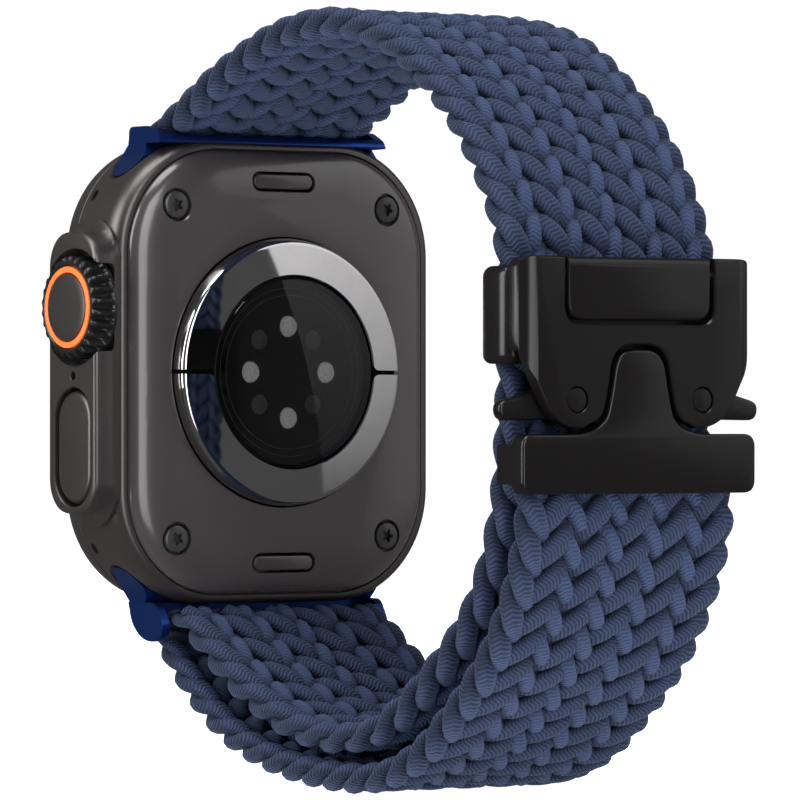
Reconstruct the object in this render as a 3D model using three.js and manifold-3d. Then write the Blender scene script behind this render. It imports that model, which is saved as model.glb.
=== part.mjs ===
// Wrist activity tracker on a braided elastic band with a clip buckle.
// Millimetres, +Z towards twelve o'clock, display facing -Y, skin side facing +Y, crown on +X.
// The origin is the centre of the wrist opening.
import * as THREE from 'three';
import { mergeVertices } from 'three/addons/utils/BufferGeometryUtils.js';
import Module from 'manifold-3d';

const wasm = await Module();
wasm.setup();

// ---- driving dimensions -------------------------------------------------------------------
const GAP = 0.3;                    // clearance between neighbouring pieces
const BACK_Y = -27;                 // plane of the skin-side cover
const CASE_WIDTH = 41;
const CASE_HEIGHT = 49;
const CASE_CORNER = 12;
const CASE_DEPTH = 12.2;
const CASE_RIM_DROP = 1.2;          // the cover stands this proud of the case rim
const WALL = 2.6;
const COVER_WIDTH = 37.5;
const COVER_HEIGHT = 45.5;
const COVER_CORNER = 11.4;
const COVER_THICKNESS = 1.7;
const SENSOR_RADIUS = 14.25;
const WINDOW_RADIUS = 9.9;
const DOME_HEIGHT = 2.5;
const LENS_CIRCLE = 4.85;
const LENS_RADIUS = 1.1;
const SPLIT_HALF = 0.23;            // half the slit between the two electrodes
const SCREW_X = 13.55;
const SCREW_Z = 17.5;
const RELEASE_Z = 20.2;
const GUARD = { x: 23.3, y: BACK_Y - 5.5, z: -0.1, width: 8.9, height: 29.4, corner: 3.4 };
const CROWN = { y: BACK_Y - 4.9, z: 6.7, radius: 5.4, face: 24.5, inner: 21.2, teeth: 26 };
const BUTTON = { y: BACK_Y - 5.3, z: -7.9, width: 6.6, height: 12, face: 23.1 };
const ACTION = { y: BACK_Y - 6.0, z: 6.0, width: 4.4, height: 14, face: -20.9 };
const SLOT_Y = BACK_Y - 6.2;        // centre of the two band channels
const SLOT_Z = 22.7;
const SLOT_RADIUS = 2.4;
const SLOT_MOUTH = 1.75;            // half width of the channel's mouth
const LUG_HALF = 14.9;              // half length of a band adapter
const STRAP_WIDTH = 26.6;
const STRAP_THICKNESS = 2.9;
const STRAP_THIN = 1.9;             // where the strap is drawn tight round a bar
const BAR = { y: BACK_Y - 2.6, z: -27.7, radius: 0.8 };
const BUCKLE_Y = BACK_Y + 61;       // front face of the buckle
const SLEEVE_Y = BACK_Y + 55.5;     // centre of the strap inside the buckle
const RIVET = { x: 7.8, z: -3.07, head: 1.22, shank: 0.85 };
const LEVER_PIN = { y: BUCKLE_Y - 1.15, z: 9.2, radius: 0.55 };
const TONGUE_PIN = { y: BACK_Y + 58.05, z: -9.8, radius: 0.5 };

// ---- colours ------------------------------------------------------------------------------
const paint = (color, roughness, metalness) => new THREE.MeshStandardMaterial({ color, roughness, metalness });
const GRAPHITE = paint(0x4a4646, 0.4, 0.8);
const COVER_GLOSS = paint(0x3c3939, 0.15, 0.2);
const BLACK_GLASS = paint(0x0b0b0d, 0.05, 0.1);
const MIRROR_GREY = paint(0x8f8f93, 0.1, 1.0);
const BLACK_METAL = paint(0x1d1b1c, 0.35, 0.6);
const BLUE_METAL = paint(0x1c2f74, 0.35, 0.8);
const NAVY_BRAID = paint(0x3b4c75, 0.9, 0.0);
const ORANGE = paint(0xf06a24, 0.5, 0.0);
const STEEL = paint(0x9a9a9a, 0.3, 1.0);
const RUBBER = paint(0x151515, 0.9, 0.0);
const BOARD_GREEN = paint(0x1e4d36, 0.6, 0.0);
const CLEAR_LENS = paint(0xb8b8b4, 0.1, 0.0);

// ---- solids and booleans ------------------------------------------------------------------
function solidOf(geometry) {
  const bare = geometry.index ? geometry.toNonIndexed() : geometry.clone();
  bare.deleteAttribute('normal');
  bare.deleteAttribute('uv');
  const merged = mergeVertices(bare, 1e-4);
  const vertProperties = new Float32Array(merged.attributes.position.array);
  const triVerts = new Uint32Array(merged.index.array);
  return new wasm.Manifold(new wasm.Mesh({ numProp: 3, vertProperties, triVerts }));
}

function geometryOf(solid) {
  const mesh = solid.getMesh();
  const geometry = new THREE.BufferGeometry();
  geometry.setAttribute('position', new THREE.BufferAttribute(new Float32Array(mesh.vertProperties), 3));
  geometry.setIndex(new THREE.BufferAttribute(new Uint32Array(mesh.triVerts), 1));
  geometry.computeVertexNormals();
  return geometry;
}

const join = (first, ...rest) => geometryOf(rest.reduce((a, b) => a.add(solidOf(b)), solidOf(first)));
const cut = (first, ...rest) => geometryOf(rest.reduce((a, b) => a.subtract(solidOf(b)), solidOf(first)));
const common = (first, other) => geometryOf(solidOf(first).intersect(solidOf(other)));

function box(x0, x1, y0, y1, z0, z1) {
  const geometry = new THREE.BoxGeometry(x1 - x0, y1 - y0, z1 - z0);
  return geometry.translate((x0 + x1) / 2, (y0 + y1) / 2, (z0 + z1) / 2);
}

// A cylinder along X, or along Y, between two stations.
function rodX(radius, x0, x1, y, z, sides = 24) {
  const geometry = new THREE.CylinderGeometry(radius, radius, x1 - x0, sides);
  return geometry.rotateZ(-Math.PI / 2).translate((x0 + x1) / 2, y, z);
}

function rodY(radius, y0, y1, x, z, sides = 24) {
  return new THREE.CylinderGeometry(radius, radius, y1 - y0, sides).translate(x, (y0 + y1) / 2, z);
}

// ---- outlines -----------------------------------------------------------------------------
function roundedRect(width, height, radius, cx = 0, cy = 0) {
  const x = width / 2 - radius;
  const y = height / 2 - radius;
  const shape = new THREE.Shape();
  shape.absarc(cx + x, cy + y, radius, 0, Math.PI / 2);
  shape.absarc(cx - x, cy + y, radius, Math.PI / 2, Math.PI);
  shape.absarc(cx - x, cy - y, radius, Math.PI, 1.5 * Math.PI);
  shape.absarc(cx + x, cy - y, radius, 1.5 * Math.PI, 2 * Math.PI);
  return shape;
}

// A slot with fully round ends, upright or lying.
function pill(width, height, cx, cy) {
  const upright = height > width;
  const radius = Math.min(width, height) / 2;
  const dx = upright ? 0 : width / 2 - radius;
  const dy = upright ? height / 2 - radius : 0;
  const start = upright ? 0 : -Math.PI / 2;
  const shape = new THREE.Shape();
  shape.absarc(cx + dx, cy + dy, radius, start, start + Math.PI);
  shape.absarc(cx - dx, cy - dy, radius, start + Math.PI, start + 2 * Math.PI);
  return shape;
}

// A polygon whose corners [x, y, radius] are rounded off.
function roundedPolygon(corners) {
  const shape = new THREE.Shape();
  const count = corners.length;
  const towards = (from, to, distance) => {
    const length = Math.hypot(to[0] - from[0], to[1] - from[1]);
    const share = Math.min(distance / length, 0.49);
    return [from[0] + (to[0] - from[0]) * share, from[1] + (to[1] - from[1]) * share];
  };
  corners.forEach((corner, i) => {
    const start = towards(corner, corners[(i + count - 1) % count], corner[2]);
    const end = towards(corner, corners[(i + 1) % count], corner[2]);
    if (i === 0) shape.moveTo(...start);
    else shape.lineTo(...start);
    if (corner[2] > 0) shape.quadraticCurveTo(corner[0], corner[1], ...end);
  });
  shape.closePath();
  return shape;
}

// ---- extrusions ---------------------------------------------------------------------------
function extrude(shape, depth, options = {}) {
  const { bevel = 0, inset = bevel, steps = 3, curve = 6 } = options;
  return new THREE.ExtrudeGeometry(shape, {
    depth: depth - 2 * bevel,
    bevelEnabled: bevel > 0,
    bevelThickness: bevel,
    bevelSize: inset,
    bevelOffset: -inset,
    bevelSegments: steps,
    curveSegments: curve,
  }).translate(0, 0, bevel);
}

// An outline drawn in X-Z, swept along Y.
function prismY(shape, y0, y1, options) {
  return extrude(shape, y1 - y0, options).rotateX(Math.PI / 2).translate(0, y1, 0);
}

// An outline drawn in Y-Z, swept along X.
function prismX(shape, x0, x1, options) {
  const turn = new THREE.Matrix4().makeBasis(
    new THREE.Vector3(0, 1, 0),
    new THREE.Vector3(0, 0, 1),
    new THREE.Vector3(1, 0, 0),
  );
  return extrude(shape, x1 - x0, options).applyMatrix4(turn).translate(x0, 0, 0);
}

// ---- the object's tree --------------------------------------------------------------------
const tracker = new THREE.Group();

function add(name, geometry, material) {
  const mesh = new THREE.Mesh(geometry, material);
  mesh.name = name;
  tracker.add(mesh);
  return mesh;
}

const corners = [[1, 1], [-1, 1], [1, -1], [-1, -1]];
const ends = [['upper', 1], ['lower', -1]];
const sides = [['left', 1], ['right', -1]];   // as the skin side is seen, the crown is on the left

// ---- case ---------------------------------------------------------------------------------
const SEAT_FLOOR = BACK_Y - 2.6;              // ledge under the cover's gasket
const LEDGE = BACK_Y - CASE_DEPTH + 2.1;      // ledge under the crystal's gasket
const CAVITY = { width: CASE_WIDTH - 2 * WALL, height: 37.8, corner: 7 };
const front = BACK_Y - CASE_DEPTH;
const rim = BACK_Y - CASE_RIM_DROP;

function channel(sign, radius, mouth, half, top) {
  const tube = rodX(radius, -half, half, SLOT_Y, sign * SLOT_Z, 20);
  const z0 = Math.min(sign * SLOT_Z, sign * top);
  const z1 = Math.max(sign * SLOT_Z, sign * top);
  return join(tube, box(-half, half, SLOT_Y - mouth, SLOT_Y + mouth, z0, z1));
}

function caseBody() {
  const outer = prismY(roundedRect(CASE_WIDTH, CASE_HEIGHT, CASE_CORNER), front, rim,
    { bevel: 3, inset: 1.1, steps: 3, curve: 6 });
  const guard = prismX(roundedRect(GUARD.width, GUARD.height, GUARD.corner, GUARD.y, GUARD.z),
    CASE_WIDTH / 2 - 2, GUARD.x, { bevel: 0.4, steps: 1, curve: 4 });
  const cavity = prismY(roundedRect(CAVITY.width, CAVITY.height, CAVITY.corner), front - 1, BACK_Y + 1);
  const crystalSeat = prismY(roundedRect(37.9, 45.9, 10.6), front - 1, LEDGE, { curve: 6 });
  const coverSeat = prismY(roundedRect(COVER_WIDTH + 2 * GAP, COVER_HEIGHT + 2 * GAP, COVER_CORNER + GAP),
    SEAT_FLOOR, BACK_Y + 1, { curve: 6 });
  const bosses = corners.map(([sx, sz]) =>
    rodY(2.3, BACK_Y - 9, SEAT_FLOOR, sx * SCREW_X, sz * SCREW_Z, 12));
  const bossWebs = corners.map(([sx, sz]) => box(
    Math.min(sx * SCREW_X, sx * (CASE_WIDTH / 2 - 2)), Math.max(sx * SCREW_X, sx * (CASE_WIDTH / 2 - 2)),
    BACK_Y - 9, SEAT_FLOOR, sz * SCREW_Z - 2.2, sz * SCREW_Z + 2.2));
  const screwBores = corners.map(([sx, sz]) =>
    rodY(1.05, BACK_Y - 6.8, BACK_Y, sx * SCREW_X, sz * SCREW_Z, 10));
  const releaseSlots = ends.map(([, s]) =>
    prismY(pill(8.1, 2.1, 0, s * RELEASE_Z), BACK_Y - 5, BACK_Y + 1));
  const channels = ends.map(([, s]) =>
    channel(s, SLOT_RADIUS, SLOT_MOUTH, CASE_WIDTH, CASE_HEIGHT / 2 + 2));
  const crownWell = rodX(CROWN.radius + 0.6, CROWN.inner - 0.4, GUARD.x + 2, CROWN.y, CROWN.z, 32);
  const crownBore = rodX(2.1, CASE_WIDTH / 2 - 6, GUARD.x, CROWN.y, CROWN.z, 20);
  const sealGroove = rodX(2.9, 18.5, 19.7, CROWN.y, CROWN.z, 24);
  const buttonWell = prismX(pill(BUTTON.width + 2 * GAP, BUTTON.height + 2 * GAP, BUTTON.y, BUTTON.z),
    20.5, GUARD.x + 2);
  const actionWell = prismX(pill(ACTION.width + 2 * GAP, ACTION.height + 2 * GAP, ACTION.y, ACTION.z),
    -CASE_WIDTH / 2 - 2, -CASE_WIDTH / 2 + 1.6);
  const microphone = rodX(0.45, 22, GUARD.x + 1, BUTTON.y, -0.45, 10);
  const speakerSlots = [-6, -9.5].map((z) =>
    prismX(pill(1.4, 2.8, BACK_Y - 6, z), -CASE_WIDTH / 2 - 2, -CASE_WIDTH / 2 + WALL + 1));
  const shell = join(cut(join(outer, guard), cavity), ...bosses, ...bossWebs);
  const trimmed = common(shell, join(outer, guard));
  return cut(trimmed, crystalSeat, coverSeat, ...screwBores, ...releaseSlots, ...channels, crownWell,
    crownBore, sealGroove, buttonWell, actionWell, microphone, ...speakerSlots);
}

add('case_body', caseBody(), GRAPHITE);

// ---- display side -------------------------------------------------------------------------
add('front_crystal', prismY(roundedRect(37.3, 45.3, 10.3), front + 0.1, front + 1.1,
  { bevel: 0.3, steps: 1, curve: 6 }), BLACK_GLASS);
add('display_gasket', cut(prismY(roundedRect(37.3, 45.3, 10.3), front + 1.4, front + 1.8, { curve: 6 }),
  prismY(roundedRect(35.6, 37.8, 7), front, front + 3)), RUBBER);
add('display_panel', prismY(roundedRect(35, 37.2, 6.7), front + 1.4, front + 2.8), BLACK_GLASS);

// ---- inside the case ----------------------------------------------------------------------
add('battery', box(-15.5, 6.5, BACK_Y - 8.9, BACK_Y - 4.4, -13, 13), STEEL);
add('logic_board', prismY(roundedRect(30, 28, 2), BACK_Y - 4.1, BACK_Y - 3.1), BOARD_GREEN);
add('haptic_motor', box(7.5, 15, BACK_Y - 8.9, BACK_Y - 4.6, -14, -2), STEEL);
add('speaker_module', box(7.5, 15, BACK_Y - 8.9, BACK_Y - 4.6, -1, 13), RUBBER);
add('side_button_switch', box(15.6, 17.5, BUTTON.y - 1.5, BUTTON.y + 1.5, BUTTON.z - 2, BUTTON.z + 2), STEEL);

// ---- skin-side cover, its gasket and four screws ------------------------------------------
function backCover() {
  const plate = prismY(roundedRect(COVER_WIDTH, COVER_HEIGHT, COVER_CORNER),
    BACK_Y - COVER_THICKNESS - 1.2, BACK_Y, { bevel: 1.2, inset: 1.0, steps: 2, curve: 7 });
  const below = box(-30, 30, BACK_Y - 6, BACK_Y - COVER_THICKNESS, -30, 30);
  const counterbores = corners.map(([sx, sz]) =>
    rodY(1.75, BACK_Y - 1.2, BACK_Y + 1, sx * SCREW_X, sz * SCREW_Z, 16));
  const screwHoles = corners.map(([sx, sz]) =>
    rodY(1.05, BACK_Y - 3, BACK_Y, sx * SCREW_X, sz * SCREW_Z, 12));
  const releaseHoles = ends.map(([, s]) =>
    prismY(pill(8.1, 2.1, 0, s * RELEASE_Z), BACK_Y - 5, BACK_Y + 1));
  const sensorHole = rodY(SENSOR_RADIUS + GAP, BACK_Y - 5, BACK_Y + 1, 0, 0, 40);
  return cut(plate, below, ...counterbores, ...screwHoles, ...releaseHoles, sensorHole);
}

add('back_cover', backCover(), COVER_GLOSS);
add('back_gasket', cut(prismY(roundedRect(37.0, 45.2, 11), BACK_Y - 2.3, BACK_Y - 2.0, { curve: 6 }),
  prismY(roundedRect(35.4, 43.8, 10.2), BACK_Y - 4, BACK_Y, { curve: 6 })), RUBBER);

corners.forEach(([sx, sz], i) => {
  const head = rodY(1.42, BACK_Y - 0.9, BACK_Y - 0.15, 0, 0, 20);
  const shank = rodY(0.75, BACK_Y - 6.2, BACK_Y - 0.5, 0, 0, 12);
  const screw = add(`back_screw_${i + 1}`, join(head, shank), BLACK_METAL);
  screw.position.set(sx * SCREW_X, 0, sz * SCREW_Z);
});

// ---- optical sensor -----------------------------------------------------------------------
// A disc turned about Y from a profile of [radius, height over the cover].
function turnedY(profile, segments) {
  const points = profile.map(([radius, height]) => new THREE.Vector2(radius, height));
  return new THREE.LatheGeometry(points, segments).translate(0, BACK_Y, 0);
}

const domeAt = (radius) => DOME_HEIGHT - 1.05 * (radius / SENSOR_RADIUS) ** 2;

function electrode(sign) {
  const inner = WINDOW_RADIUS + GAP;
  const ring = turnedY([
    [inner, -1.5], [SENSOR_RADIUS, -1.5], [SENSOR_RADIUS, 0.3], [SENSOR_RADIUS - 0.45, domeAt(13.8)],
    [inner, domeAt(inner)], [inner, -1.5],
  ], 40);
  const z0 = Math.min(sign * SPLIT_HALF, sign * 20);
  const z1 = Math.max(sign * SPLIT_HALF, sign * 20);
  return common(ring, box(-20, 20, BACK_Y - 5, BACK_Y + 5, z0, z1));
}

ends.forEach(([name, sign]) => add(`electrode_${name}`, electrode(sign), MIRROR_GREY));

add('sensor_window', turnedY([
  [0, 1.2], [WINDOW_RADIUS, 1.2], [WINDOW_RADIUS, domeAt(WINDOW_RADIUS)],
  [5, domeAt(5)], [0, DOME_HEIGHT],
], 32), BLACK_GLASS);

const lensPlaces = Array.from({ length: 8 }, (_, i) => {
  const angle = i * Math.PI / 4;
  return [LENS_CIRCLE * Math.sin(angle), LENS_CIRCLE * Math.cos(angle)];
});

add('sensor_frame', cut(rodY(9.7, BACK_Y - 1.6, BACK_Y + 0.9, 0, 0, 32),
  ...lensPlaces.map(([x, z]) => rodY(LENS_RADIUS + GAP, BACK_Y - 3, BACK_Y + 2, x, z, 12))), RUBBER);
add('sensor_board', rodY(9.4, BACK_Y - 2.7, BACK_Y - 1.9, 0, 0, 24), BOARD_GREEN);

lensPlaces.forEach(([x, z], i) => {
  const name = i % 2 === 0 ? `led_lens_${i / 2 + 1}` : `photodiode_${(i + 1) / 2}`;
  const lens = add(name, rodY(LENS_RADIUS, BACK_Y - 1.6, BACK_Y + 0.7, 0, 0, 12), CLEAR_LENS);
  lens.position.set(x, 0, z);
});

// ---- crown --------------------------------------------------------------------------------
function crownWheel() {
  const outline = new THREE.Shape();
  const steps = CROWN.teeth * 4;
  for (let i = 0; i < steps; i += 1) {
    const radius = i % 4 < 2 ? CROWN.radius : CROWN.radius - 0.45;
    const angle = (i / steps) * 2 * Math.PI;
    const point = [CROWN.y + radius * Math.cos(angle), CROWN.z + radius * Math.sin(angle)];
    if (i === 0) outline.moveTo(...point);
    else outline.lineTo(...point);
  }
  outline.closePath();
  const drum = prismX(outline, CROWN.inner, CROWN.face - 0.3);
  const dish = rodX(4.55, CROWN.face - 1.2, CROWN.face + 1, CROWN.y, CROWN.z, 36);
  return cut(drum, dish);
}

function ringX(inner, outer, x0, x1, sides) {
  return cut(rodX(outer, x0, x1, CROWN.y, CROWN.z, sides), rodX(inner, x0 - 1, x1 + 1, CROWN.y, CROWN.z, sides));
}

add('crown_wheel', crownWheel(), GRAPHITE);
add('crown_ring', ringX(3.68, 4.25, CROWN.face - 0.9, CROWN.face - 0.15, 36), ORANGE);
add('crown_cap', rodX(3.38, CROWN.face - 0.9, CROWN.face, CROWN.y, CROWN.z, 36), GRAPHITE);
add('crown_shaft', rodX(1.6, 15.4, CROWN.inner - GAP, CROWN.y, CROWN.z, 20), STEEL);
add('crown_seal', ringX(1.9, 2.6, 18.8, 19.4, 20), RUBBER);

// ---- buttons ------------------------------------------------------------------------------
add('side_button', prismX(pill(BUTTON.width, BUTTON.height, BUTTON.y, BUTTON.z), 21.3, BUTTON.face,
  { bevel: 0.3, steps: 1, curve: 6 }), GRAPHITE);
add('action_button', prismX(pill(ACTION.width, ACTION.height, ACTION.y, ACTION.z), ACTION.face, -19.7,
  { bevel: 0.3, steps: 1, curve: 6 }), ORANGE);
ends.forEach(([name, s]) => add(`release_button_${name}`,
  prismY(pill(7.5, 1.5, 0, s * RELEASE_Z), BACK_Y - 3.3, BACK_Y - 0.15), BLACK_METAL));

// ---- strap --------------------------------------------------------------------------------
// Centre lines in Y-Z, as [y from the cover plane, z, thickness].
const T = STRAP_THICKNESS;
const UPPER_RUN = [
  [-6.1, 23.9, 2.0], [-5.7, 25.3, 2.2], [-3.4, 26.4, 2.6], [0, 28.0, T], [4.2, 30.2, T], [9, 32.2, T],
  [13.8, 33.9, T], [18.8, 35.0, T], [23.8, 35.4, T], [28.9, 35.0, T], [33.9, 33.7, T], [38.3, 31.7, T],
  [42.2, 29.1, T], [45.7, 26.3, T], [48.5, 23.5, T], [50.8, 20.7, T], [52.6, 18, T], [54.1, 15.2, T],
  [55.1, 12.6, T], [55.5, 10.2, T], [55.5, 7, T],
];
const INNER_RUN = [
  [55.5, 6.6, T], [55.5, 3, T], [55.5, 0, T], [55.4, -4, T], [55.1, -9, T], [54.6, -12.6, T],
  [53.6, -16.4, T], [51.9, -20.4, T], [49.9, -23.6, T], [47.3, -26.5, T], [43, -30.2, T],
  [38.4, -33.6, T], [33.2, -36.3, T], [27, -37.3, T], [21.6, -36.9, T], [16.4, -35.6, T],
  [9.9, -32.9, T], [4.2, -29.6, 2.7], [0.6, -27.1, 2.2], [-1.9, -26.0, STRAP_THIN],
];
const WRAP_RADIUS = BAR.radius + 0.1 + STRAP_THIN / 2;
const WRAP = [100, 130, 160, 190, 215].map((degrees) => {
  const angle = degrees * Math.PI / 180;
  return [BAR.y - BACK_Y + WRAP_RADIUS * Math.cos(angle), BAR.z + WRAP_RADIUS * Math.sin(angle), STRAP_THIN];
});
const OUTER_RUN = [
  ...WRAP, [-2.6, -30.4, 2.3], [1.2, -33.6, 2.8], [7.2, -37.4, T], [15.6, -40.0, T], [26.8, -41.2, T],
  [33.4, -40.9, T], [38.4, -39.4, T], [42.4, -37.2, T], [46.2, -34.2, T], [49.6, -31.2, T],
  [52.2, -28.4, T], [54.2, -25.6, T], [56, -22.5, T], [57.3, -19.3, T], [58.2, -16.6, T],
  [58.5, -14.4, T], [58.2, -12.4, 2.4], [58.05, -11.2, 2.1], [58.05, -8.4, 2.1],
];

// A ribbon: a centre line thickened in Y-Z and swept across the strap's width.
function ribbon(run, steps, width, extra = 0, pinHole = null) {
  const curve = new THREE.CatmullRomCurve3(run.map(([y, z, t]) => new THREE.Vector3(BACK_Y + y, z, t)));
  const left = [];
  const right = [];
  for (let i = 0; i <= steps; i += 1) {
    const at = curve.getPoint(i / steps);
    const along = curve.getTangent(i / steps).setZ(0).normalize();
    const half = at.z / 2 + extra;
    left.push(new THREE.Vector2(at.x - along.y * half, at.y + along.x * half));
    right.unshift(new THREE.Vector2(at.x + along.y * half, at.y - along.x * half));
  }
  const shape = new THREE.Shape([...left, ...right]);
  const body = prismX(shape, -width / 2, width / 2);
  return pinHole ? cut(body, pinHole) : geometryOf(solidOf(body));
}

const UPPER_PIN = { y: BACK_Y - 6.1, z: 24.6, radius: 0.4 };
const half = STRAP_WIDTH / 2;
add('strap_upper_run', ribbon(UPPER_RUN, 44, STRAP_WIDTH, 0,
  rodX(UPPER_PIN.radius + 0.2, -half - 1, half + 1, UPPER_PIN.y, UPPER_PIN.z, 12)), NAVY_BRAID);
add('strap_inner_run', ribbon(INNER_RUN, 44, STRAP_WIDTH), NAVY_BRAID);
add('strap_outer_run', ribbon(OUTER_RUN, 52, STRAP_WIDTH, 0,
  rodX(TONGUE_PIN.radius + 0.2, -half - 1, half + 1, TONGUE_PIN.y, TONGUE_PIN.z, 12)), NAVY_BRAID);

// ---- band adapters ------------------------------------------------------------------------
function adapter(sign, arm, armTop) {
  const root = channel(sign, SLOT_RADIUS - GAP, SLOT_MOUTH - GAP - 0.05, LUG_HALF, armTop);
  const cheeks = [-1, 1].map((side) => prismX(roundedPolygon(arm),
    side > 0 ? half + 0.4 : -LUG_HALF, side > 0 ? LUG_HALF : -half - 0.4));
  return join(root, ...cheeks);
}

const latchPocket = (s) => box(-3.3, 3.3, BACK_Y - 5.9, BACK_Y - 3,
  Math.min(s * 20, s * 22.4), Math.max(s * 20, s * 22.4));
const upperArm = [
  [BACK_Y - 8.2, 24.8, 0.3], [BACK_Y - 3.5, 24.8, 0.3], [BACK_Y - 3.5, 26.0, 0.3], [BACK_Y - 8.2, 26.0, 0.8],
];
const lowerArm = [
  [BACK_Y - 8.2, -24.8, 0.3], [BACK_Y - 7.4, -26.9, 1.5], [BACK_Y - 4.6, -28.9, 1.5],
  [BACK_Y - 1.4, -28.9, 1.0], [BACK_Y - 0.9, -26.3, 1.0], [BACK_Y - 3.4, -24.8, 0.3],
];
const strapRoom = (run) => ribbon(run, 44, STRAP_WIDTH + 0.8, GAP);

add('adapter_upper', cut(adapter(1, upperArm, 25.6), strapRoom(UPPER_RUN), latchPocket(1),
  rodX(0.6, -half - 0.9, half + 0.9, UPPER_PIN.y, UPPER_PIN.z, 12)), BLUE_METAL);
add('adapter_lower', cut(adapter(-1, lowerArm, 25.2), strapRoom(INNER_RUN), strapRoom(OUTER_RUN),
  latchPocket(-1), rodX(BAR.radius + 0.2, -half - 0.9, half + 0.9, BAR.y, BAR.z, 16)), BLUE_METAL);
add('adapter_pin_upper', rodX(UPPER_PIN.radius, -half - 0.7, half + 0.7, UPPER_PIN.y, UPPER_PIN.z, 12), STEEL);
add('adapter_bar_lower', rodX(BAR.radius - 0.1, -half - 0.7, half + 0.7, BAR.y, BAR.z, 16), STEEL);
ends.forEach(([name, s]) => add(`adapter_latch_${name}`, box(-3, 3, BACK_Y - 5.6, BACK_Y - 4.95,
  Math.min(s * 21.1, s * 22.1), Math.max(s * 21.1, s * 22.1)), STEEL));

// ---- buckle clip --------------------------------------------------------------------------
const CUT_OUT = [
  [8.5, -9, 0], [7.2, -5.95, 0.9], [4.9, -5.0, 1.5], [4.0, -3.2, 1.5], [3.05, 0.6, 1.2], [1.6, 2.0, 1.0],
];
const mirrored = (points) => [...points, ...points.slice().reverse().map(([x, z, r]) => [-x, z, r])];

function clipPlate() {
  const outline = roundedPolygon(mirrored([[14.6, 10.9, 2.2], [14.6, 2.1, 2.5], [10.4, -5.8, 2.6], [3, -5.8, 0]]));
  const plate = prismY(outline, BUCKLE_Y - 2.3, BUCKLE_Y, { bevel: 0.5, steps: 2, curve: 5 });
  const mouth = prismY(roundedPolygon(mirrored(CUT_OUT)), BUCKLE_Y - 5, BUCKLE_Y + 1, { curve: 5 });
  const leverNotch = prismY(roundedPolygon(mirrored([[9.3, 13, 0], [9.3, 4.2, 1.8]])),
    BUCKLE_Y - 5, BUCKLE_Y + 1, { curve: 5 });
  const leafPocket = box(-20, 20, BUCKLE_Y - 4, BUCKLE_Y - 1.3, -10, 1.7);
  const rivetHoles = sides.map(([, s]) => rodY(RIVET.head + 0.25, BUCKLE_Y - 4, BUCKLE_Y + 1, s * RIVET.x, RIVET.z, 20));
  const pinBore = rodX(LEVER_PIN.radius + 0.25, -11.4, 11.4, LEVER_PIN.y, LEVER_PIN.z, 12);
  return cut(plate, mouth, leverNotch, leafPocket, ...rivetHoles, pinBore);
}

function clipFrame() {
  const wall = 0.8;
  const rear = SLEEVE_Y - T / 2 - GAP - wall;
  const face = BUCKLE_Y - 2.6;
  const sleeve = box(-14.6, 14.6, rear, face, 1.4, 10.2);
  const passage = box(-13.65, 13.65, rear + wall, SLEEVE_Y + T / 2 + 0.35, 0, 12);
  const window = box(-9, 9, SLEEVE_Y, face + 1, 4.4, 12);
  const ears = sides.map(([, s]) => prismY(roundedRect(4.6, 9, 2, s * RIVET.x, -1.2),
    SLEEVE_Y + T / 2 + 0.35, SLEEVE_Y + T / 2 + 0.75));
  const earHoles = sides.map(([, s]) => rodY(RIVET.shank + 0.25, BUCKLE_Y - 6, BUCKLE_Y, s * RIVET.x, RIVET.z, 14));
  return cut(join(sleeve, ...ears), passage, window, ...earHoles);
}

add('clip_plate', clipPlate(), BLACK_METAL);
add('clip_frame', clipFrame(), BLACK_METAL);

// The lever turns about its pin; its nose presses on the strap through the frame's window.
function camLever() {
  const side = roundedPolygon([
    [BUCKLE_Y - 0.1, 10.9, 0.5], [BUCKLE_Y - 1.3, 10.9, 0.4], [BUCKLE_Y - 3.35, 10.0, 0.4],
    [BUCKLE_Y - 3.35, 8.4, 0.5], [BUCKLE_Y - 1.4, 7.6, 0.4], [BUCKLE_Y - 1.4, 4.7, 0.3], [BUCKLE_Y - 0.1, 4.7, 0.4],
  ]);
  const body = prismX(side, -8.9, 8.9);
  const face = prismY(roundedPolygon(mirrored([[8.9, 11.5, 0], [8.9, 4.7, 1.7]])), BUCKLE_Y - 6, BUCKLE_Y + 1);
  return cut(common(body, face), rodX(LEVER_PIN.radius + 0.25, -10, 10, LEVER_PIN.y, LEVER_PIN.z, 12));
}

add('cam_lever', camLever(), BLACK_METAL);
add('lever_pin', rodX(LEVER_PIN.radius, -11.1, 11.1, LEVER_PIN.y, LEVER_PIN.z, 12), STEEL);

// Spring catches on the two rivets: thumb tabs outside, hooks beside the tongue inside.
const CATCH = [
  [15.9, -2.9, 0.9], [15.5, -5.0, 0.9], [9.6, -5.0, 0.8], [6.4, -5.2, 1.4], [3.1, -4.9, 0.3], [3.1, -3.8, 0.3],
  [6.2, -3.2, 0.6], [6.6, -1.3, 0.9], [9.0, -1.2, 0.9], [11.2, -2.2, 0.9],
];
sides.forEach(([name, s]) => {
  const outline = CATCH.map(([x, z, r]) => [s * x, z, r]);
  const leaf = prismY(roundedPolygon(s > 0 ? outline : outline.reverse()), BUCKLE_Y - 2.9, BUCKLE_Y - 1.6);
  const bore = rodY(RIVET.shank + 0.2, BUCKLE_Y - 6, BUCKLE_Y, s * RIVET.x, RIVET.z, 16);
  add(`trigger_${name}`, cut(leaf, bore), BLACK_METAL);
  const head = rodY(RIVET.head, BUCKLE_Y - 1.25, BUCKLE_Y - 0.05, 0, 0, 20);
  const shank = rodY(RIVET.shank, SLEEVE_Y + T / 2 + 0.35, BUCKLE_Y - 0.5, 0, 0, 14);
  const rivet = add(`rivet_${name}`, join(head, shank), BLACK_METAL);
  rivet.position.set(s * RIVET.x, 0, RIVET.z);
});

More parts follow.
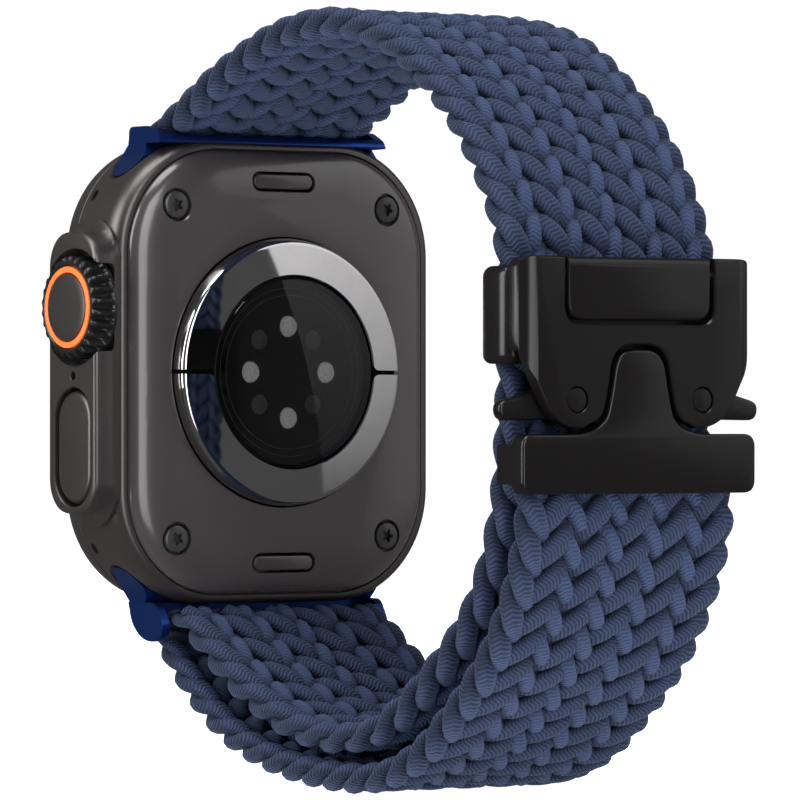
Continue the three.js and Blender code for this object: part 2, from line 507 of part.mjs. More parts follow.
// ---- tongue -------------------------------------------------------------------------------
function tongue() {
  const tip = [
    [14.5, -12.25, 1.3], [14.5, -6.4, 1.3], [6.9, -6.4, 1.2], [4.5, -5.4, 1.5], [3.55, -3.3, 1.5],
    [2.6, 0.3, 1.2], [1.4, 1.5, 0.8],
  ];
  const plate = prismY(roundedPolygon(mirrored(tip)), BUCKLE_Y - 1.6, BUCKLE_Y, { bevel: 0.3, steps: 1, curve: 5 });
  const stem = prismY(roundedPolygon(mirrored([[2.5, -8, 0], [2.5, 0.6, 0.8], [1.6, 0.9, 0.4]])),
    BUCKLE_Y - 2.9, BUCKLE_Y - 1.0);
  const lugs = [-1, 1].map((side) => box(side > 0 ? 13.6 : -14.5, side > 0 ? 14.5 : -13.6,
    TONGUE_PIN.y - 1.2, BUCKLE_Y - 1.0, -11.3, -7.4));
  const bore = rodX(TONGUE_PIN.radius + 0.2, -14.1, 14.1, TONGUE_PIN.y, TONGUE_PIN.z, 12);
  return cut(join(plate, stem, ...lugs), bore);
}

add('tongue', tongue(), BLACK_METAL);
add('tongue_pin', rodX(TONGUE_PIN.radius, -13.9, 13.9, TONGUE_PIN.y, TONGUE_PIN.z, 12), STEEL);

export default tracker;
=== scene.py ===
"""Wrist activity tracker on a braided elastic band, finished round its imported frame."""
import math
from collections import namedtuple

import bmesh
import bpy
import numpy as np
from mathutils import Matrix, Vector


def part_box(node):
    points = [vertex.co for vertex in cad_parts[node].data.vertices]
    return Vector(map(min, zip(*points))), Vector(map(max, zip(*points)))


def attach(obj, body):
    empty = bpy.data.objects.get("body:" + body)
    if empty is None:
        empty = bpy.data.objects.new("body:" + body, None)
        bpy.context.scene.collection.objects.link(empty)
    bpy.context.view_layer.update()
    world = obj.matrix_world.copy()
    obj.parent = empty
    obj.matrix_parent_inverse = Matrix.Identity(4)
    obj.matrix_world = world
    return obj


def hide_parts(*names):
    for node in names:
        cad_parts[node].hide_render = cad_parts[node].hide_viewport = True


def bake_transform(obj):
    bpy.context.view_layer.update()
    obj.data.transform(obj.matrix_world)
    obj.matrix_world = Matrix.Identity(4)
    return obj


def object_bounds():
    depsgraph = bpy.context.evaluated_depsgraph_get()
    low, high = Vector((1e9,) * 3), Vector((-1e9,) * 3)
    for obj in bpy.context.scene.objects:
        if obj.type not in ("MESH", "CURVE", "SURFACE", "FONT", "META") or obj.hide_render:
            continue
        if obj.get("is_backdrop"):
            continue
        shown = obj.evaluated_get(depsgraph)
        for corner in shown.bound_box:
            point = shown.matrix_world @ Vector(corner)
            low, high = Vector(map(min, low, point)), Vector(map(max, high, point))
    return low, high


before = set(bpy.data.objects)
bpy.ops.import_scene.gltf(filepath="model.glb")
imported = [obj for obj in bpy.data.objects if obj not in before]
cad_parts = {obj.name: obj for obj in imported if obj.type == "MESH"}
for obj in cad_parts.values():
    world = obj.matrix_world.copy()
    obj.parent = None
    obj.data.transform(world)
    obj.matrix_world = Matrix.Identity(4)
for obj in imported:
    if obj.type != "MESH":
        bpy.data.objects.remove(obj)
CAD_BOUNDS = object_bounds()

bl_info = {
    "name": "Braided Band Tracker",
    "version": (1, 0, 0),
    "blender": (4, 5, 0),
    "location": "View3D > Sidebar > Tracker",
    "description": "Builds a wrist tracker with a braided band and a clip buckle round its frame",
    "category": "Add Mesh",
}

MM = 0.001
SMOOTH_ANGLE = math.radians(32)


def span(node):
    """Lowest and highest corner of a frame node, in millimetres."""
    low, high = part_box(node)
    return np.array(low) / MM, np.array(high) / MM


def middle(node):
    low, high = span(node)
    return (low + high) / 2


BACK_Y = span("back_cover")[1][1]
BUCKLE_Y = span("clip_plate")[1][1]


# ---- sizes and colours ---------------------------------------------------------------------


def length(name, text, millimetres):
    return bpy.props.FloatProperty(
        name=name, description=text, default=millimetres * MM, unit="LENGTH", precision=5)


def colour(name, text, rgb):
    return bpy.props.FloatVectorProperty(
        name=name, description=text, default=(*rgb, 1.0), size=4, subtype="COLOR", min=0.0, max=1.0)


class TrackerStrapSettings(bpy.types.PropertyGroup):
    cords: bpy.props.IntProperty(name="Cords", description="Cords in the flat braid", default=20, min=8)
    row_pitch: length("Row pitch", "Distance between cords of one lay along the strap", 3.6)
    cord_width: length("Cord width", "Width of a cord as it lies", 2.2)
    cord_height: length("Cord height", "Thickness of a cord as it lies", 1.62)
    lift: length("Lift", "How far a cord rises over the one that it crosses", 0.66)
    colour: colour("Cord colour", "Colour of the braided cords", (0.030, 0.048, 0.109))


class TrackerCaseSettings(bpy.types.PropertyGroup):
    metal: colour("Case metal", "Colour of the blasted metal", (0.094, 0.083, 0.083))
    cover: colour("Cover", "Colour of the polished cover", (0.042, 0.0355, 0.0365))
    ring: colour("Crown ring", "Colour of the ring in the crown", (0.93, 0.155, 0.022))


class TrackerBuckleSettings(bpy.types.PropertyGroup):
    roll: length("Edge round", "Rounding of the buckle's front edges", 0.55)
    black: colour("Buckle coating", "Colour of the satin coating", (0.0045, 0.0037, 0.0039))
    blue: colour("Adapter blue", "Colour of the anodised adapters", (0.012, 0.045, 0.22))


def settings():
    """The three groups of sizes and colours, as set on the scene."""
    scene = bpy.context.scene
    return scene.tracker_strap, scene.tracker_case, scene.tracker_buckle


# ---- shader arithmetic ---------------------------------------------------------------------


class Wire:
    """A shader socket that Python arithmetic can be written on."""

    def __init__(self, finish, socket):
        self.finish = finish
        self.socket = socket

    def math(self, operation, *values):
        return self.finish.node("ShaderNodeMath", {"operation": operation}, dict(enumerate(values)))

    def __add__(self, other):
        return self.math("ADD", self, other)

    def __radd__(self, other):
        return self.math("ADD", other, self)

    def __sub__(self, other):
        return self.math("SUBTRACT", self, other)

    def __rsub__(self, other):
        return self.math("SUBTRACT", other, self)

    def __mul__(self, other):
        return self.math("MULTIPLY", self, other)

    def __rmul__(self, other):
        return self.math("MULTIPLY", other, self)

    def sine(self):
        return self.math("SINE", self)

    def fold(self, size):
        return self.math("PINGPONG", self, size)


class Finish:
    """Builds one material, or the world, from nodes."""

    def __init__(self, name, kind="materials"):
        self.owner = getattr(bpy.data, kind).new(name)
        self.owner.use_nodes = True
        self.tree = self.owner.node_tree
        self.tree.nodes.clear()

    def node(self, kind, options=None, sockets=None, output=0):
        made = self.tree.nodes.new(kind)
        for key, value in (options or {}).items():
            setattr(made, key, value)
        for key, value in (sockets or {}).items():
            if isinstance(value, Wire):
                self.tree.links.new(value.socket, made.inputs[key])
            else:
                made.inputs[key].default_value = value
        return Wire(self, made.outputs[output])

    def place(self):
        """Position on the object, in metres."""
        return self.node("ShaderNodeTexCoord", output="Object")

    def grain(self, size_mm, detail=3.0, where=None):
        """Noise whose blotches are about size_mm across."""
        sockets = {"Vector": where or self.place(), "Scale": 1 / (size_mm * MM), "Detail": detail}
        return self.node("ShaderNodeTexNoise", None, sockets)

    def blend(self, factor, first, second):
        """A colour part of the way from first to second."""
        return self.node("ShaderNodeMix", {"data_type": "RGBA"},
                         {0: factor, 6: first, 7: second}, output=2)

    def bump(self, height, strength, depth_mm):
        sockets = {"Height": height, "Strength": strength, "Distance": depth_mm * MM}
        return self.node("ShaderNodeBump", None, sockets)

    def done(self, shader, output="ShaderNodeOutputMaterial"):
        out = self.tree.nodes.new(output)
        self.tree.links.new(shader.socket, out.inputs["Surface"])
        return self.owner

    def solid(self, **sockets):
        """A Principled surface. Socket names are written with underscores."""
        named = {key.replace("_", " "): value for key, value in sockets.items()}
        return self.done(self.node("ShaderNodeBsdfPrincipled", None, named))


def shade(rgb, factor):
    return (*[min(1.0, c * factor) for c in rgb[:3]], 1.0)


finishes = {}


def finish_for(maker, *args):
    """One material per maker and arguments, made the first time that it is asked for."""
    key = (maker.__name__, *[a if isinstance(a, (str, float, int)) else tuple(a) for a in args])
    if key not in finishes:
        finishes[key] = maker(*args)
    return finishes[key]


def blasted_metal(name, rgb, roughness=0.36, metallic=0.85):
    """Bead-blasted metal: fine grain, and tone that drifts a little."""
    f = Finish(name)
    drift = f.grain(6.0, 2.0)
    grit = f.grain(0.09, 2.0)
    tone = f.blend(drift, shade(rgb, 0.86), shade(rgb, 1.14))
    return f.solid(Base_Color=tone, Metallic=metallic, Roughness=roughness + 0.1 * (grit - 0.5),
                   Normal=f.bump(grit, 0.25, 0.02))


def satin_coating(name, rgb):
    """The buckle's satin black coating, with the faint orange peel of a sprayed coat."""
    f = Finish(name)
    peel = f.grain(0.5, 2.0)
    grit = f.grain(0.07, 2.0)
    tone = f.blend(f.grain(4.0), shade(rgb, 0.8), shade(rgb, 1.25))
    return f.solid(Base_Color=tone, Metallic=0.1, Roughness=0.25 + 0.05 * (grit - 0.5),
                   Specular_IOR_Level=0.4, Normal=f.bump(peel + grit * 0.6, 0.1, 0.02))


def polished_cover(name, rgb):
    """Polished dark ceramic with a clear, slightly soft gloss."""
    f = Finish(name)
    cloud = f.grain(9.0, 2.0)
    smear = f.grain(2.2, 4.0)
    tone = f.blend(cloud, shade(rgb, 0.9), shade(rgb, 1.12))
    return f.solid(Base_Color=tone, Roughness=0.24 + 0.02 * (smear - 0.5), Specular_IOR_Level=0.6,
                   Coat_Weight=0.35, Coat_Roughness=0.04)


def mirror_film(name, rgb):
    """Vapour-deposited film on the electrodes, almost a mirror."""
    f = Finish(name)
    haze = f.grain(3.0, 3.0)
    tone = f.blend(haze, shade(rgb, 0.92), shade(rgb, 1.08))
    return f.solid(Base_Color=tone, Metallic=1.0, Roughness=0.035 + 0.02 * haze)


def smoked_window(name):
    """Smoked sapphire: mostly gloss at a grazing view, and see-through face on."""
    f = Finish(name)
    facing = f.node("ShaderNodeFresnel", None, {"IOR": 1.62})
    gloss = f.node("ShaderNodeBsdfGlossy", None, {"Color": (0.42, 0.41, 0.42, 1), "Roughness": 0.02})
    clear = f.node("ShaderNodeBsdfTransparent", None, {"Color": (0.8, 0.79, 0.8, 1)})
    return f.done(f.node("ShaderNodeMixShader", None, {0: facing, 1: clear, 2: gloss}))


def black_crystal(name):
    f = Finish(name)
    smear = f.grain(5.0, 4.0)
    return f.solid(Base_Color=(0.004, 0.004, 0.005, 1), Roughness=0.05 + 0.04 * smear,
                   Coat_Weight=1.0, Coat_Roughness=0.03)


def lens_resin(name, rgb, glow):
    """Clear resin over a chip: a bright speckled middle, with a faint painted glow from its emission."""
    f = Finish(name)
    speck = f.grain(0.18, 2.0)
    tone = f.blend(speck, shade(rgb, 0.35), shade(rgb, 1.5))
    return f.solid(Base_Color=tone, Metallic=0.6, Roughness=0.25, Emission_Color=tone,
                   Emission_Strength=glow)


def satin_plastic(name, rgb, roughness=0.5):
    f = Finish(name)
    grit = f.grain(0.12, 2.0)
    tone = f.blend(f.grain(2.5), shade(rgb, 0.88), shade(rgb, 1.1))
    return f.solid(Base_Color=tone, Roughness=roughness + 0.1 * (grit - 0.5),
                   Normal=f.bump(grit, 0.2, 0.015))


def matt_black(name):
    """Smooth black plastic under the window."""
    f = Finish(name)
    tone = f.blend(f.grain(3.0), (0.0028, 0.0027, 0.0029, 1), (0.0042, 0.004, 0.0043, 1))
    return f.solid(Base_Color=tone, Roughness=0.6, Specular_IOR_Level=0.2)


def circuit_board(name):
    """Green board with a faint grid of tracks."""
    f = Finish(name)
    tracks = f.node("ShaderNodeTexBrick", {"offset": 0.3}, {
        "Vector": f.place(), "Scale": 260.0, "Color1": (0.01, 0.09, 0.05, 1),
        "Color2": (0.008, 0.07, 0.04, 1), "Mortar": (0.35, 0.26, 0.08, 1), "Mortar Size": 0.01})
    return f.solid(Base_Color=tracks, Roughness=0.45)


def braided_cord(name, rgb):
    """Knitted cord: fine slanting stitches in columns round the cord, fibres and a soft sheen. Its colour carries
    painted shade: darker in the stitch grooves, and darker still where the cord lies deep towards the strap's
    middle.
    """
    f = Finish(name)
    uv = f.node("ShaderNodeUVMap", {"uv_map": "cord"})
    along = f.node("ShaderNodeSeparateXYZ", None, {0: uv}, output=0)
    around = f.node("ShaderNodeSeparateXYZ", None, {0: uv}, output=1)
    slant = (around * 4.0).fold(0.5)
    stitch = ((along + slant * 1.5) * (2 * math.pi)).sine() * 0.5 + 0.5
    column = (around * (8 * math.pi)).sine() * 0.5 + 0.5
    fibre = f.grain(0.12, 3.0)
    relief = stitch * 0.8 + column * 0.25 + fibre * 0.35
    dye = f.grain(2.4, 3.0)
    lit = f.blend(dye, shade(rgb, 0.86), shade(rgb, 1.18))
    plain = f.node("ShaderNodeAttribute", {"attribute_name": "plain"}, output=2)
    lit = f.blend(plain * 0.3, lit, shade(rgb, 1.6))
    # painted shade: the colour darkens in the stitch grooves, half as much where the knit is plain
    painted_groove_shade = ((1 - stitch) * 0.8 + (1 - column) * 0.12) * (1 - plain * 0.5)
    # painted shade in the creases: the closer a point of a cord lies to the strap's middle, the darker its colour
    proud = f.node("ShaderNodeAttribute", {"attribute_name": "depth"}, output=2)
    painted_crease_shade = f.node("ShaderNodeMapRange", {"interpolation_type": "SMOOTHSTEP"},
                     {0: proud, 1: 0.25, 2: 0.95, 3: 0.62, 4: 0.0})
    tone = f.blend(painted_crease_shade, f.blend(painted_groove_shade, lit, shade(rgb, 0.24)), shade(rgb, 0.14))
    return f.solid(Base_Color=tone, Roughness=0.8, Sheen_Weight=0.15, Sheen_Roughness=0.4,
                   Sheen_Tint=(0.45, 0.6, 1.0, 1), Specular_IOR_Level=0.25,
                   Normal=f.bump(relief, 0.85, 0.14))


# ---- outlines ------------------------------------------------------------------------------


def rounded_rect(width, height, radius, steps=14, centre=(0.0, 0.0)):
    """A rectangle with round corners, anticlockwise."""
    points = []
    for k, (sx, sy) in enumerate([(1, 1), (-1, 1), (-1, -1), (1, -1)]):
        for i in range(steps + 1):
            angle = (k + i / steps) * math.pi / 2
            points.append((centre[0] + sx * (width / 2 - radius) + radius * math.cos(angle),
                           centre[1] + sy * (height / 2 - radius) + radius * math.sin(angle)))
    return np.array(points)


def pill(width, height, steps=14, centre=(0.0, 0.0)):
    return rounded_rect(width, height, min(width, height) / 2 - 0.01, steps, centre)


def circle(radius, steps, centre=(0.0, 0.0)):
    turn = np.linspace(0, 2 * math.pi, steps, endpoint=False)
    return np.stack([centre[0] + radius * np.cos(turn), centre[1] + radius * np.sin(turn)], axis=1)


def rounded_polygon(corners, steps=8):
    """A polygon whose corners (x, y, cut) are rounded off over the length cut on both sides."""
    points = []
    for i, (x, y, cut) in enumerate(corners):
        here = np.array([x, y])
        ends = []
        for other in (corners[i - 1], corners[(i + 1) % len(corners)]):
            way = np.array(other[:2]) - here
            ends.append(here + way * min(cut / max(np.linalg.norm(way), 1e-9), 0.49))
        if cut == 0:
            points.append(here)
            continue
        for t in np.linspace(0, 1, steps + 1):
            points.append((1 - t) ** 2 * ends[0] + 2 * t * (1 - t) * here + t * t * ends[1])
    return np.array(points)


def mirrored(corners):
    """Corners on the +X side, followed by their mirror images."""
    return [*corners, *[(-x, y, cut) for x, y, cut in reversed(corners)]]


def inset(outline, distance):
    """The outline moved inwards by distance."""
    area = np.sum(outline[:, 0] * np.roll(outline[:, 1], -1) - np.roll(outline[:, 0], -1) * outline[:, 1])
    before = outline - np.roll(outline, 1, axis=0)
    after = np.roll(outline, -1, axis=0) - outline
    before /= np.maximum(np.linalg.norm(before, axis=1, keepdims=True), 1e-9)
    after /= np.maximum(np.linalg.norm(after, axis=1, keepdims=True), 1e-9)
    normal = np.stack([-(before + after)[:, 1], (before + after)[:, 0]], axis=1)
    normal /= np.maximum(np.linalg.norm(normal, axis=1, keepdims=True), 1e-9)
    return outline + normal * distance * np.sign(area)


# ---- meshes --------------------------------------------------------------------------------


def facing_y(outline, y):
    """An X-Z outline put at a height y."""
    return np.stack([outline[:, 0], np.full(len(outline), y), outline[:, 1]], axis=1)


def facing_x(outline, x):
    """A Y-Z outline put at a station x."""
    return np.stack([np.full(len(outline), x), outline[:, 0], outline[:, 1]], axis=1)


def facing_z(outline, z):
    """An X-Y outline put at a height z."""
    return np.stack([outline[:, 0], outline[:, 1], np.full(len(outline), z)], axis=1)


def new_mesh(name, points, faces):
    """A mesh from points in millimetres."""
    mesh = bpy.data.meshes.new(name)
    mesh.from_pydata([tuple(p) for p in np.asarray(points) * MM], [], faces)
    return mesh


def place_mesh(name, mesh):
    """An object for a mesh, whose faces are turned outwards first."""
    work = bmesh.new()
    work.from_mesh(mesh)
    bmesh.ops.recalc_face_normals(work, faces=work.faces)
    work.to_mesh(mesh)
    work.free()
    made = bpy.data.objects.new(name, mesh)
    bpy.context.scene.collection.objects.link(made)
    return made


def make(name, points, faces, material, smooth=True):
    """An object from points in millimetres."""
    mesh = new_mesh(name, points, faces)
    made = place_mesh(name, mesh)
    if material:
        mesh.materials.append(material)
    if smooth:
        soften(made)
    return made


def soften(piece):
    """Smooth shading that keeps the real edges crisp."""
    piece.data.shade_smooth()
    piece.data.set_sharp_from_angle(angle=SMOOTH_ANGLE)


def loft_faces(rings, count, capped=True):
    faces = []
    for r in range(rings - 1):
        for i in range(count):
            j = (i + 1) % count
            faces.append((r * count + i, r * count + j, (r + 1) * count + j, (r + 1) * count + i))
    if capped:
        faces.append(tuple(range(count)))
        faces.append(tuple((rings - 1) * count + i for i in range(count)))
    return faces


def loft(name, rings, material=None):
    """A skin through rings of equal count, closed at both ends."""
    return make(name, np.concatenate(rings), loft_faces(len(rings), len(rings[0])), material)


def rounded_ends(low, high, low_round, high_round, steps):
    """(station, inset) pairs from low to high, with both edges rounded."""
    quarter = np.linspace(0, math.pi / 2, steps + 1)
    start = [(low + low_round * (1 - math.sin(a)), low_round * (1 - math.cos(a))) for a in quarter[::-1]]
    end = [(high - high_round * (1 - math.sin(a)), high_round * (1 - math.cos(a))) for a in quarter]
    return (start if low_round else [(low, 0.0)]) + (end if high_round else [(high, 0.0)])


def slab_y(name, outline, low, high, material=None, low_round=0.0, high_round=0.0, steps=4):
    """An X-Z outline thickened along Y, with rounded edges."""
    return loft(name, [facing_y(inset(outline, d), y)
                       for y, d in rounded_ends(low, high, low_round, high_round, steps)], material)


def slab_x(name, outline, low, high, material=None, low_round=0.0, high_round=0.0, steps=4):
    """A Y-Z outline thickened along X, with rounded edges."""
    return loft(name, [facing_x(inset(outline, d), x)
                       for x, d in rounded_ends(low, high, low_round, high_round, steps)], material)


def discard(*pieces):
    for piece in pieces:
        bpy.data.objects.remove(piece, do_unlink=True)


def combine(piece, others, operation="DIFFERENCE"):
    """Cuts, joins or intersects a piece with others, which are used up."""
    for other in others:
        step = piece.modifiers.new("step", "BOOLEAN")
        step.object = other
        step.operation = operation
        step.solver = "EXACT"
    fresh = bpy.data.meshes.new_from_object(piece.evaluated_get(bpy.context.evaluated_depsgraph_get()))
    piece.modifiers.clear()
    old = piece.data
    piece.data = fresh
    fresh.name = piece.name
    bpy.data.meshes.remove(old)
    discard(*others)
    soften(piece)
    if not len(fresh.polygons):
        raise RuntimeError(f"{piece.name} came out empty")
    return piece


def paint(piece, material):
    """Leaves a piece with one material, whatever its cutters brought."""
    piece.data.materials.clear()
    piece.data.materials.append(material)


def settle(piece, body, slot, *nodes):
    """Puts a finished piece on its body and hides the nodes it stands for. The slot argument is not used."""
    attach(piece, body)
    if nodes:
        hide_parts(*nodes)
    return piece


def coat(material, *nodes):
    """Gives frame nodes that keep their shape a finished material."""
    for node in nodes:
        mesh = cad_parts[node].data
        mesh.materials.clear()
        mesh.materials.append(material)


def slab_z(name, outline, low, high):
    """An X-Y outline thickened along Z."""
    return loft(name, [facing_z(outline, z) for z in (low, high)])


def box_tool(x0, x1, y0, y1, z0, z1):
    """A box for cutting with."""
    return slab_y("tool", np.array([(x0, z0), (x1, z0), (x1, z1), (x0, z1)]), y0, y1)


def well_y(outline, floor, surface, flare=0.12):
    """A cutter from floor up through surface that also breaks the hole's edge."""
    stations = [(floor, 0.0), (surface - flare, 0.0), (surface, -flare), (surface + 3, -flare)]
    return loft("tool", [facing_y(inset(outline, d), y) for y, d in stations])


def well_x(outline, floor, surface, flare=0.12):
    """A cutter along X, from floor out through surface on either side of the case."""
    out = math.copysign(1, surface - floor)
    stations = [(floor, 0.0), (surface - out * flare, 0.0), (surface, -flare), (surface + out * 3, -flare)]
    return loft("tool", [facing_x(inset(outline, d), x) for x, d in stations])


def turned(name, profile, centre, axis, material=None, steps=72, ring=False):
    """A shape turned about X or Y from a profile of (radius, station)."""
    lay = facing_x if axis == "X" else facing_y
    rings = [lay(circle(max(radius, 0.02), steps, centre), station) for radius, station in profile]
    faces = loft_faces(len(rings), steps, capped=not ring)
    if ring:
        last = (len(rings) - 1) * steps
        faces += [(last + i, last + (i + 1) % steps, (i + 1) % steps, i) for i in range(steps)]
    return make(name, np.concatenate(rings), faces, material)


# ---- the braid -----------------------------------------------------------------------------

THICK = 2.9  # the strap where nothing presses on it

# The middle line of each run of the strap, as (y from the cover's face, z, thickness).
UPPER_LINE = [
    (-6.1, 23.9, 2.0), (-5.7, 25.3, 2.2), (-3.4, 26.4, 2.6), (0, 28, THICK), (4.2, 30.2, THICK), (9, 32.2, THICK),
    (13.8, 33.9, THICK), (18.8, 35, THICK), (23.8, 35.4, THICK), (28.9, 35, THICK), (33.9, 33.7, THICK),
    (38.3, 31.7, THICK), (42.2, 29.1, THICK), (45.7, 26.3, THICK), (48.5, 23.5, THICK), (50.8, 20.7, THICK),
    (52.6, 18, THICK), (54.1, 15.2, THICK), (55.1, 12.6, THICK), (55.5, 10.2, THICK), (55.5, 7, THICK)]
INNER_LINE = [
    (55.5, 6.6, THICK), (55.5, 3, THICK), (55.5, 0, THICK), (55.4, -4, THICK), (55.1, -9, THICK),
    (54.6, -12.6, THICK), (53.6, -16.4, THICK), (51.9, -20.4, THICK), (49.9, -23.6, THICK), (47.3, -26.5, THICK),
    (43, -30.2, THICK), (38.4, -33.6, THICK), (33.2, -36.3, THICK), (27, -37.3, THICK), (21.6, -36.9, THICK),
    (16.4, -35.6, THICK), (9.9, -32.7, THICK), (4.2, -29.2, 2.8), (0.6, -26.7, 2.5), (-1.9, -25.5, 2.0)]
BAR = (-2.6, -27.7)
WRAP_RADIUS = 1.85
OUTER_LINE = [
    *[(BAR[0] + WRAP_RADIUS * math.cos(math.radians(a)), BAR[1] + WRAP_RADIUS * math.sin(math.radians(a)), 1.9)
      for a in (100, 130, 160, 190, 215)],
    (-2.6, -30.4, 2.3), (1.2, -33.6, 2.8), (7.2, -37.4, THICK), (15.6, -40, THICK), (26.8, -41.2, THICK),
    (33.4, -40.9, THICK), (38.4, -39.4, THICK), (42.4, -37.2, THICK), (46.2, -34.2, THICK), (49.6, -31.2, THICK),
    (52.2, -28.4, THICK), (54.2, -25.6, THICK), (56, -22.5, THICK), (57.3, -19.3, THICK), (58.2, -16.6, THICK),
    (58.5, -14.4, THICK), (58.2, -12.4, 2.4), (58.05, -11.2, 2.1), (58.05, -8.4, 2.1)]
LINE_STEP = 0.1
CORD_STEP = 0.5  # between the rings of a cord
CORD_SIDES = 10
HALF_SPREAD = 12.2  # from the strap's middle to the outermost line of a cord
TURN_BACK = 0.985  # how tightly a cord turns back at the strap's edge; 1 is a sharp corner
EDGE_WRAP = 1.5  # length over which a cord rolls round the edge
FLAT_TOP = 0.6  # below 1, a cord stays up for longer and dives faster
FIRM = 0.12  # lean of the steadier lay, as a part of the other's
CORE_SIZE = (24.0, 0.45)  # the flat core between the two faces
STITCH = 0.38  # one stitch of the knit, along the cord

# Each run of the strap: its line, the frame node, how much longer its rows are, its lean, and the lay that leans
# more.
RUNS = [("strap_upper", UPPER_LINE, "strap_upper_run", 1.0, 0.8, 1),
        ("strap_inner", INNER_LINE, "strap_inner_run", 1.2, 0.8, -1),
        ("strap_outer", OUTER_LINE, "strap_outer_run", 1.0, -0.8, -1)]


def centre_line(points):
    """Smooth curve through (y, z, thickness) points: positions, normals, thickness, total length."""
    p = np.array(points, float)
    p[:, 0] += BACK_Y
    gaps = np.sqrt(np.linalg.norm(np.diff(p[:, :2], axis=0), axis=1))
    at = np.concatenate([[0], np.cumsum(gaps)])
    slope = np.gradient(p, at, axis=0)
    fine = np.linspace(0, at[-1], 4000)
    k = np.clip(np.searchsorted(at, fine, side="right") - 1, 0, len(at) - 2)
    h = (at[k + 1] - at[k])[:, None]
    t = ((fine - at[k]) / h[:, 0])[:, None]
    line = ((2 * t**3 - 3 * t**2 + 1) * p[k] + (t**3 - 2 * t**2 + t) * h * slope[k]
            + (3 * t**2 - 2 * t**3) * p[k + 1] + (t**3 - t**2) * h * slope[k + 1])
    run = np.concatenate([[0], np.cumsum(np.linalg.norm(np.diff(line[:, :2], axis=0), axis=1))])
    even = np.arange(0, run[-1], LINE_STEP)
    y, z, thick = (np.interp(even, run, line[:, c]) for c in range(3))
    ty, tz = np.gradient(y), np.gradient(z)
    size = np.hypot(ty, tz)
    return even, np.stack([y, z], 1), np.stack([-tz / size, ty / size], 1), thick, run[-1]


def ease(t):
    t = np.clip(t, 0, 1)
    return t * t * (3 - 2 * t)


# One cord: its middle line, the strap's line under it and the up direction, and at each point the strap's
# thickness, the cord's width and height as factors, and how plain the knit looks.
Course = namedtuple("Course", "path core up scale broad tall plain")


def cord_paths(strap, run, first, pitch, lean, lay):
    """Each cord of a run, as a Course, and the flat core last.

    A cord zigzags from edge to edge, over two cords and under two. Where it floats on one face it runs more
    along the strap, and on the other face more across it, by the amount lean. lay is 1 or -1 for the lay that
    leans so; the other lay leans less.
    """
    even, line, normal, thick, total = centre_line(run)
    columns = strap.cords
    period = columns * pitch
    for k in range(columns):
        s = np.arange(0, total, CORD_STEP)
        s[-1] = total
        turn = 2 * np.pi * ((s + first) / period + k / columns)
        wave = np.arcsin(TURN_BACK * np.sin(turn)) / math.asin(TURN_BACK)
        x = (wave + 1) * columns / 2
        inside = ease(x / 1.5) * ease((columns - x) / 1.5)
        rightward = np.cos(turn)
        amount = lean * np.where(rightward * lay > 0, 1.0, FIRM)
        crossing = np.pi * (x - 0.5) / 2
        shift = amount * np.cos(crossing) * inside * 2 / np.pi * 2 / columns
        across = (wave + shift) * HALF_SPREAD
        weave = np.sign(np.sin(crossing)) * np.abs(np.sin(crossing)) ** FLAT_TOP
        from_turn = np.abs(turn % np.pi - np.pi / 2) * period / (2 * np.pi)
        fade = np.sin(np.clip(from_turn / EDGE_WRAP, 0, 1) * np.pi / 2)
        near = ease((EDGE_WRAP * 2 - from_turn) / EDGE_WRAP)
        rise = np.sign(rightward) * strap.lift / MM * weave * fade * (1 + 0.2 * near)
        scale = np.interp(s, even, thick) / THICK
        y, z = (np.interp(s, even, line[:, c]) for c in range(2))
        ny, nz = (np.interp(s, even, normal[:, c]) for c in range(2))
        core = np.stack([across, y, z], 1)
        up = np.stack([np.zeros_like(ny), ny, nz], 1)
        face = np.clip(np.sign(lean) * weave * 1.5, -1, 1) * inside
        broad = 1.0 - 0.16 * face + 0.08 * near
        plain = np.clip(face, 0, 1)
        yield Course(core + up * (rise * scale)[:, None], core, up, scale, broad, np.ones_like(scale), plain)
    # the flat core: a sheet by the strap's middle that the painted crease shade turns dark, so the gaps between
    # cords show painted shade
    flat = core * (0, 1, 1)
    wide, thin = CORE_SIZE[0] / strap.cord_width * MM, CORE_SIZE[1] / strap.cord_height * MM
    yield Course(flat, flat, up, scale, np.full_like(scale, wide), np.full_like(scale, thin), 0 * scale)


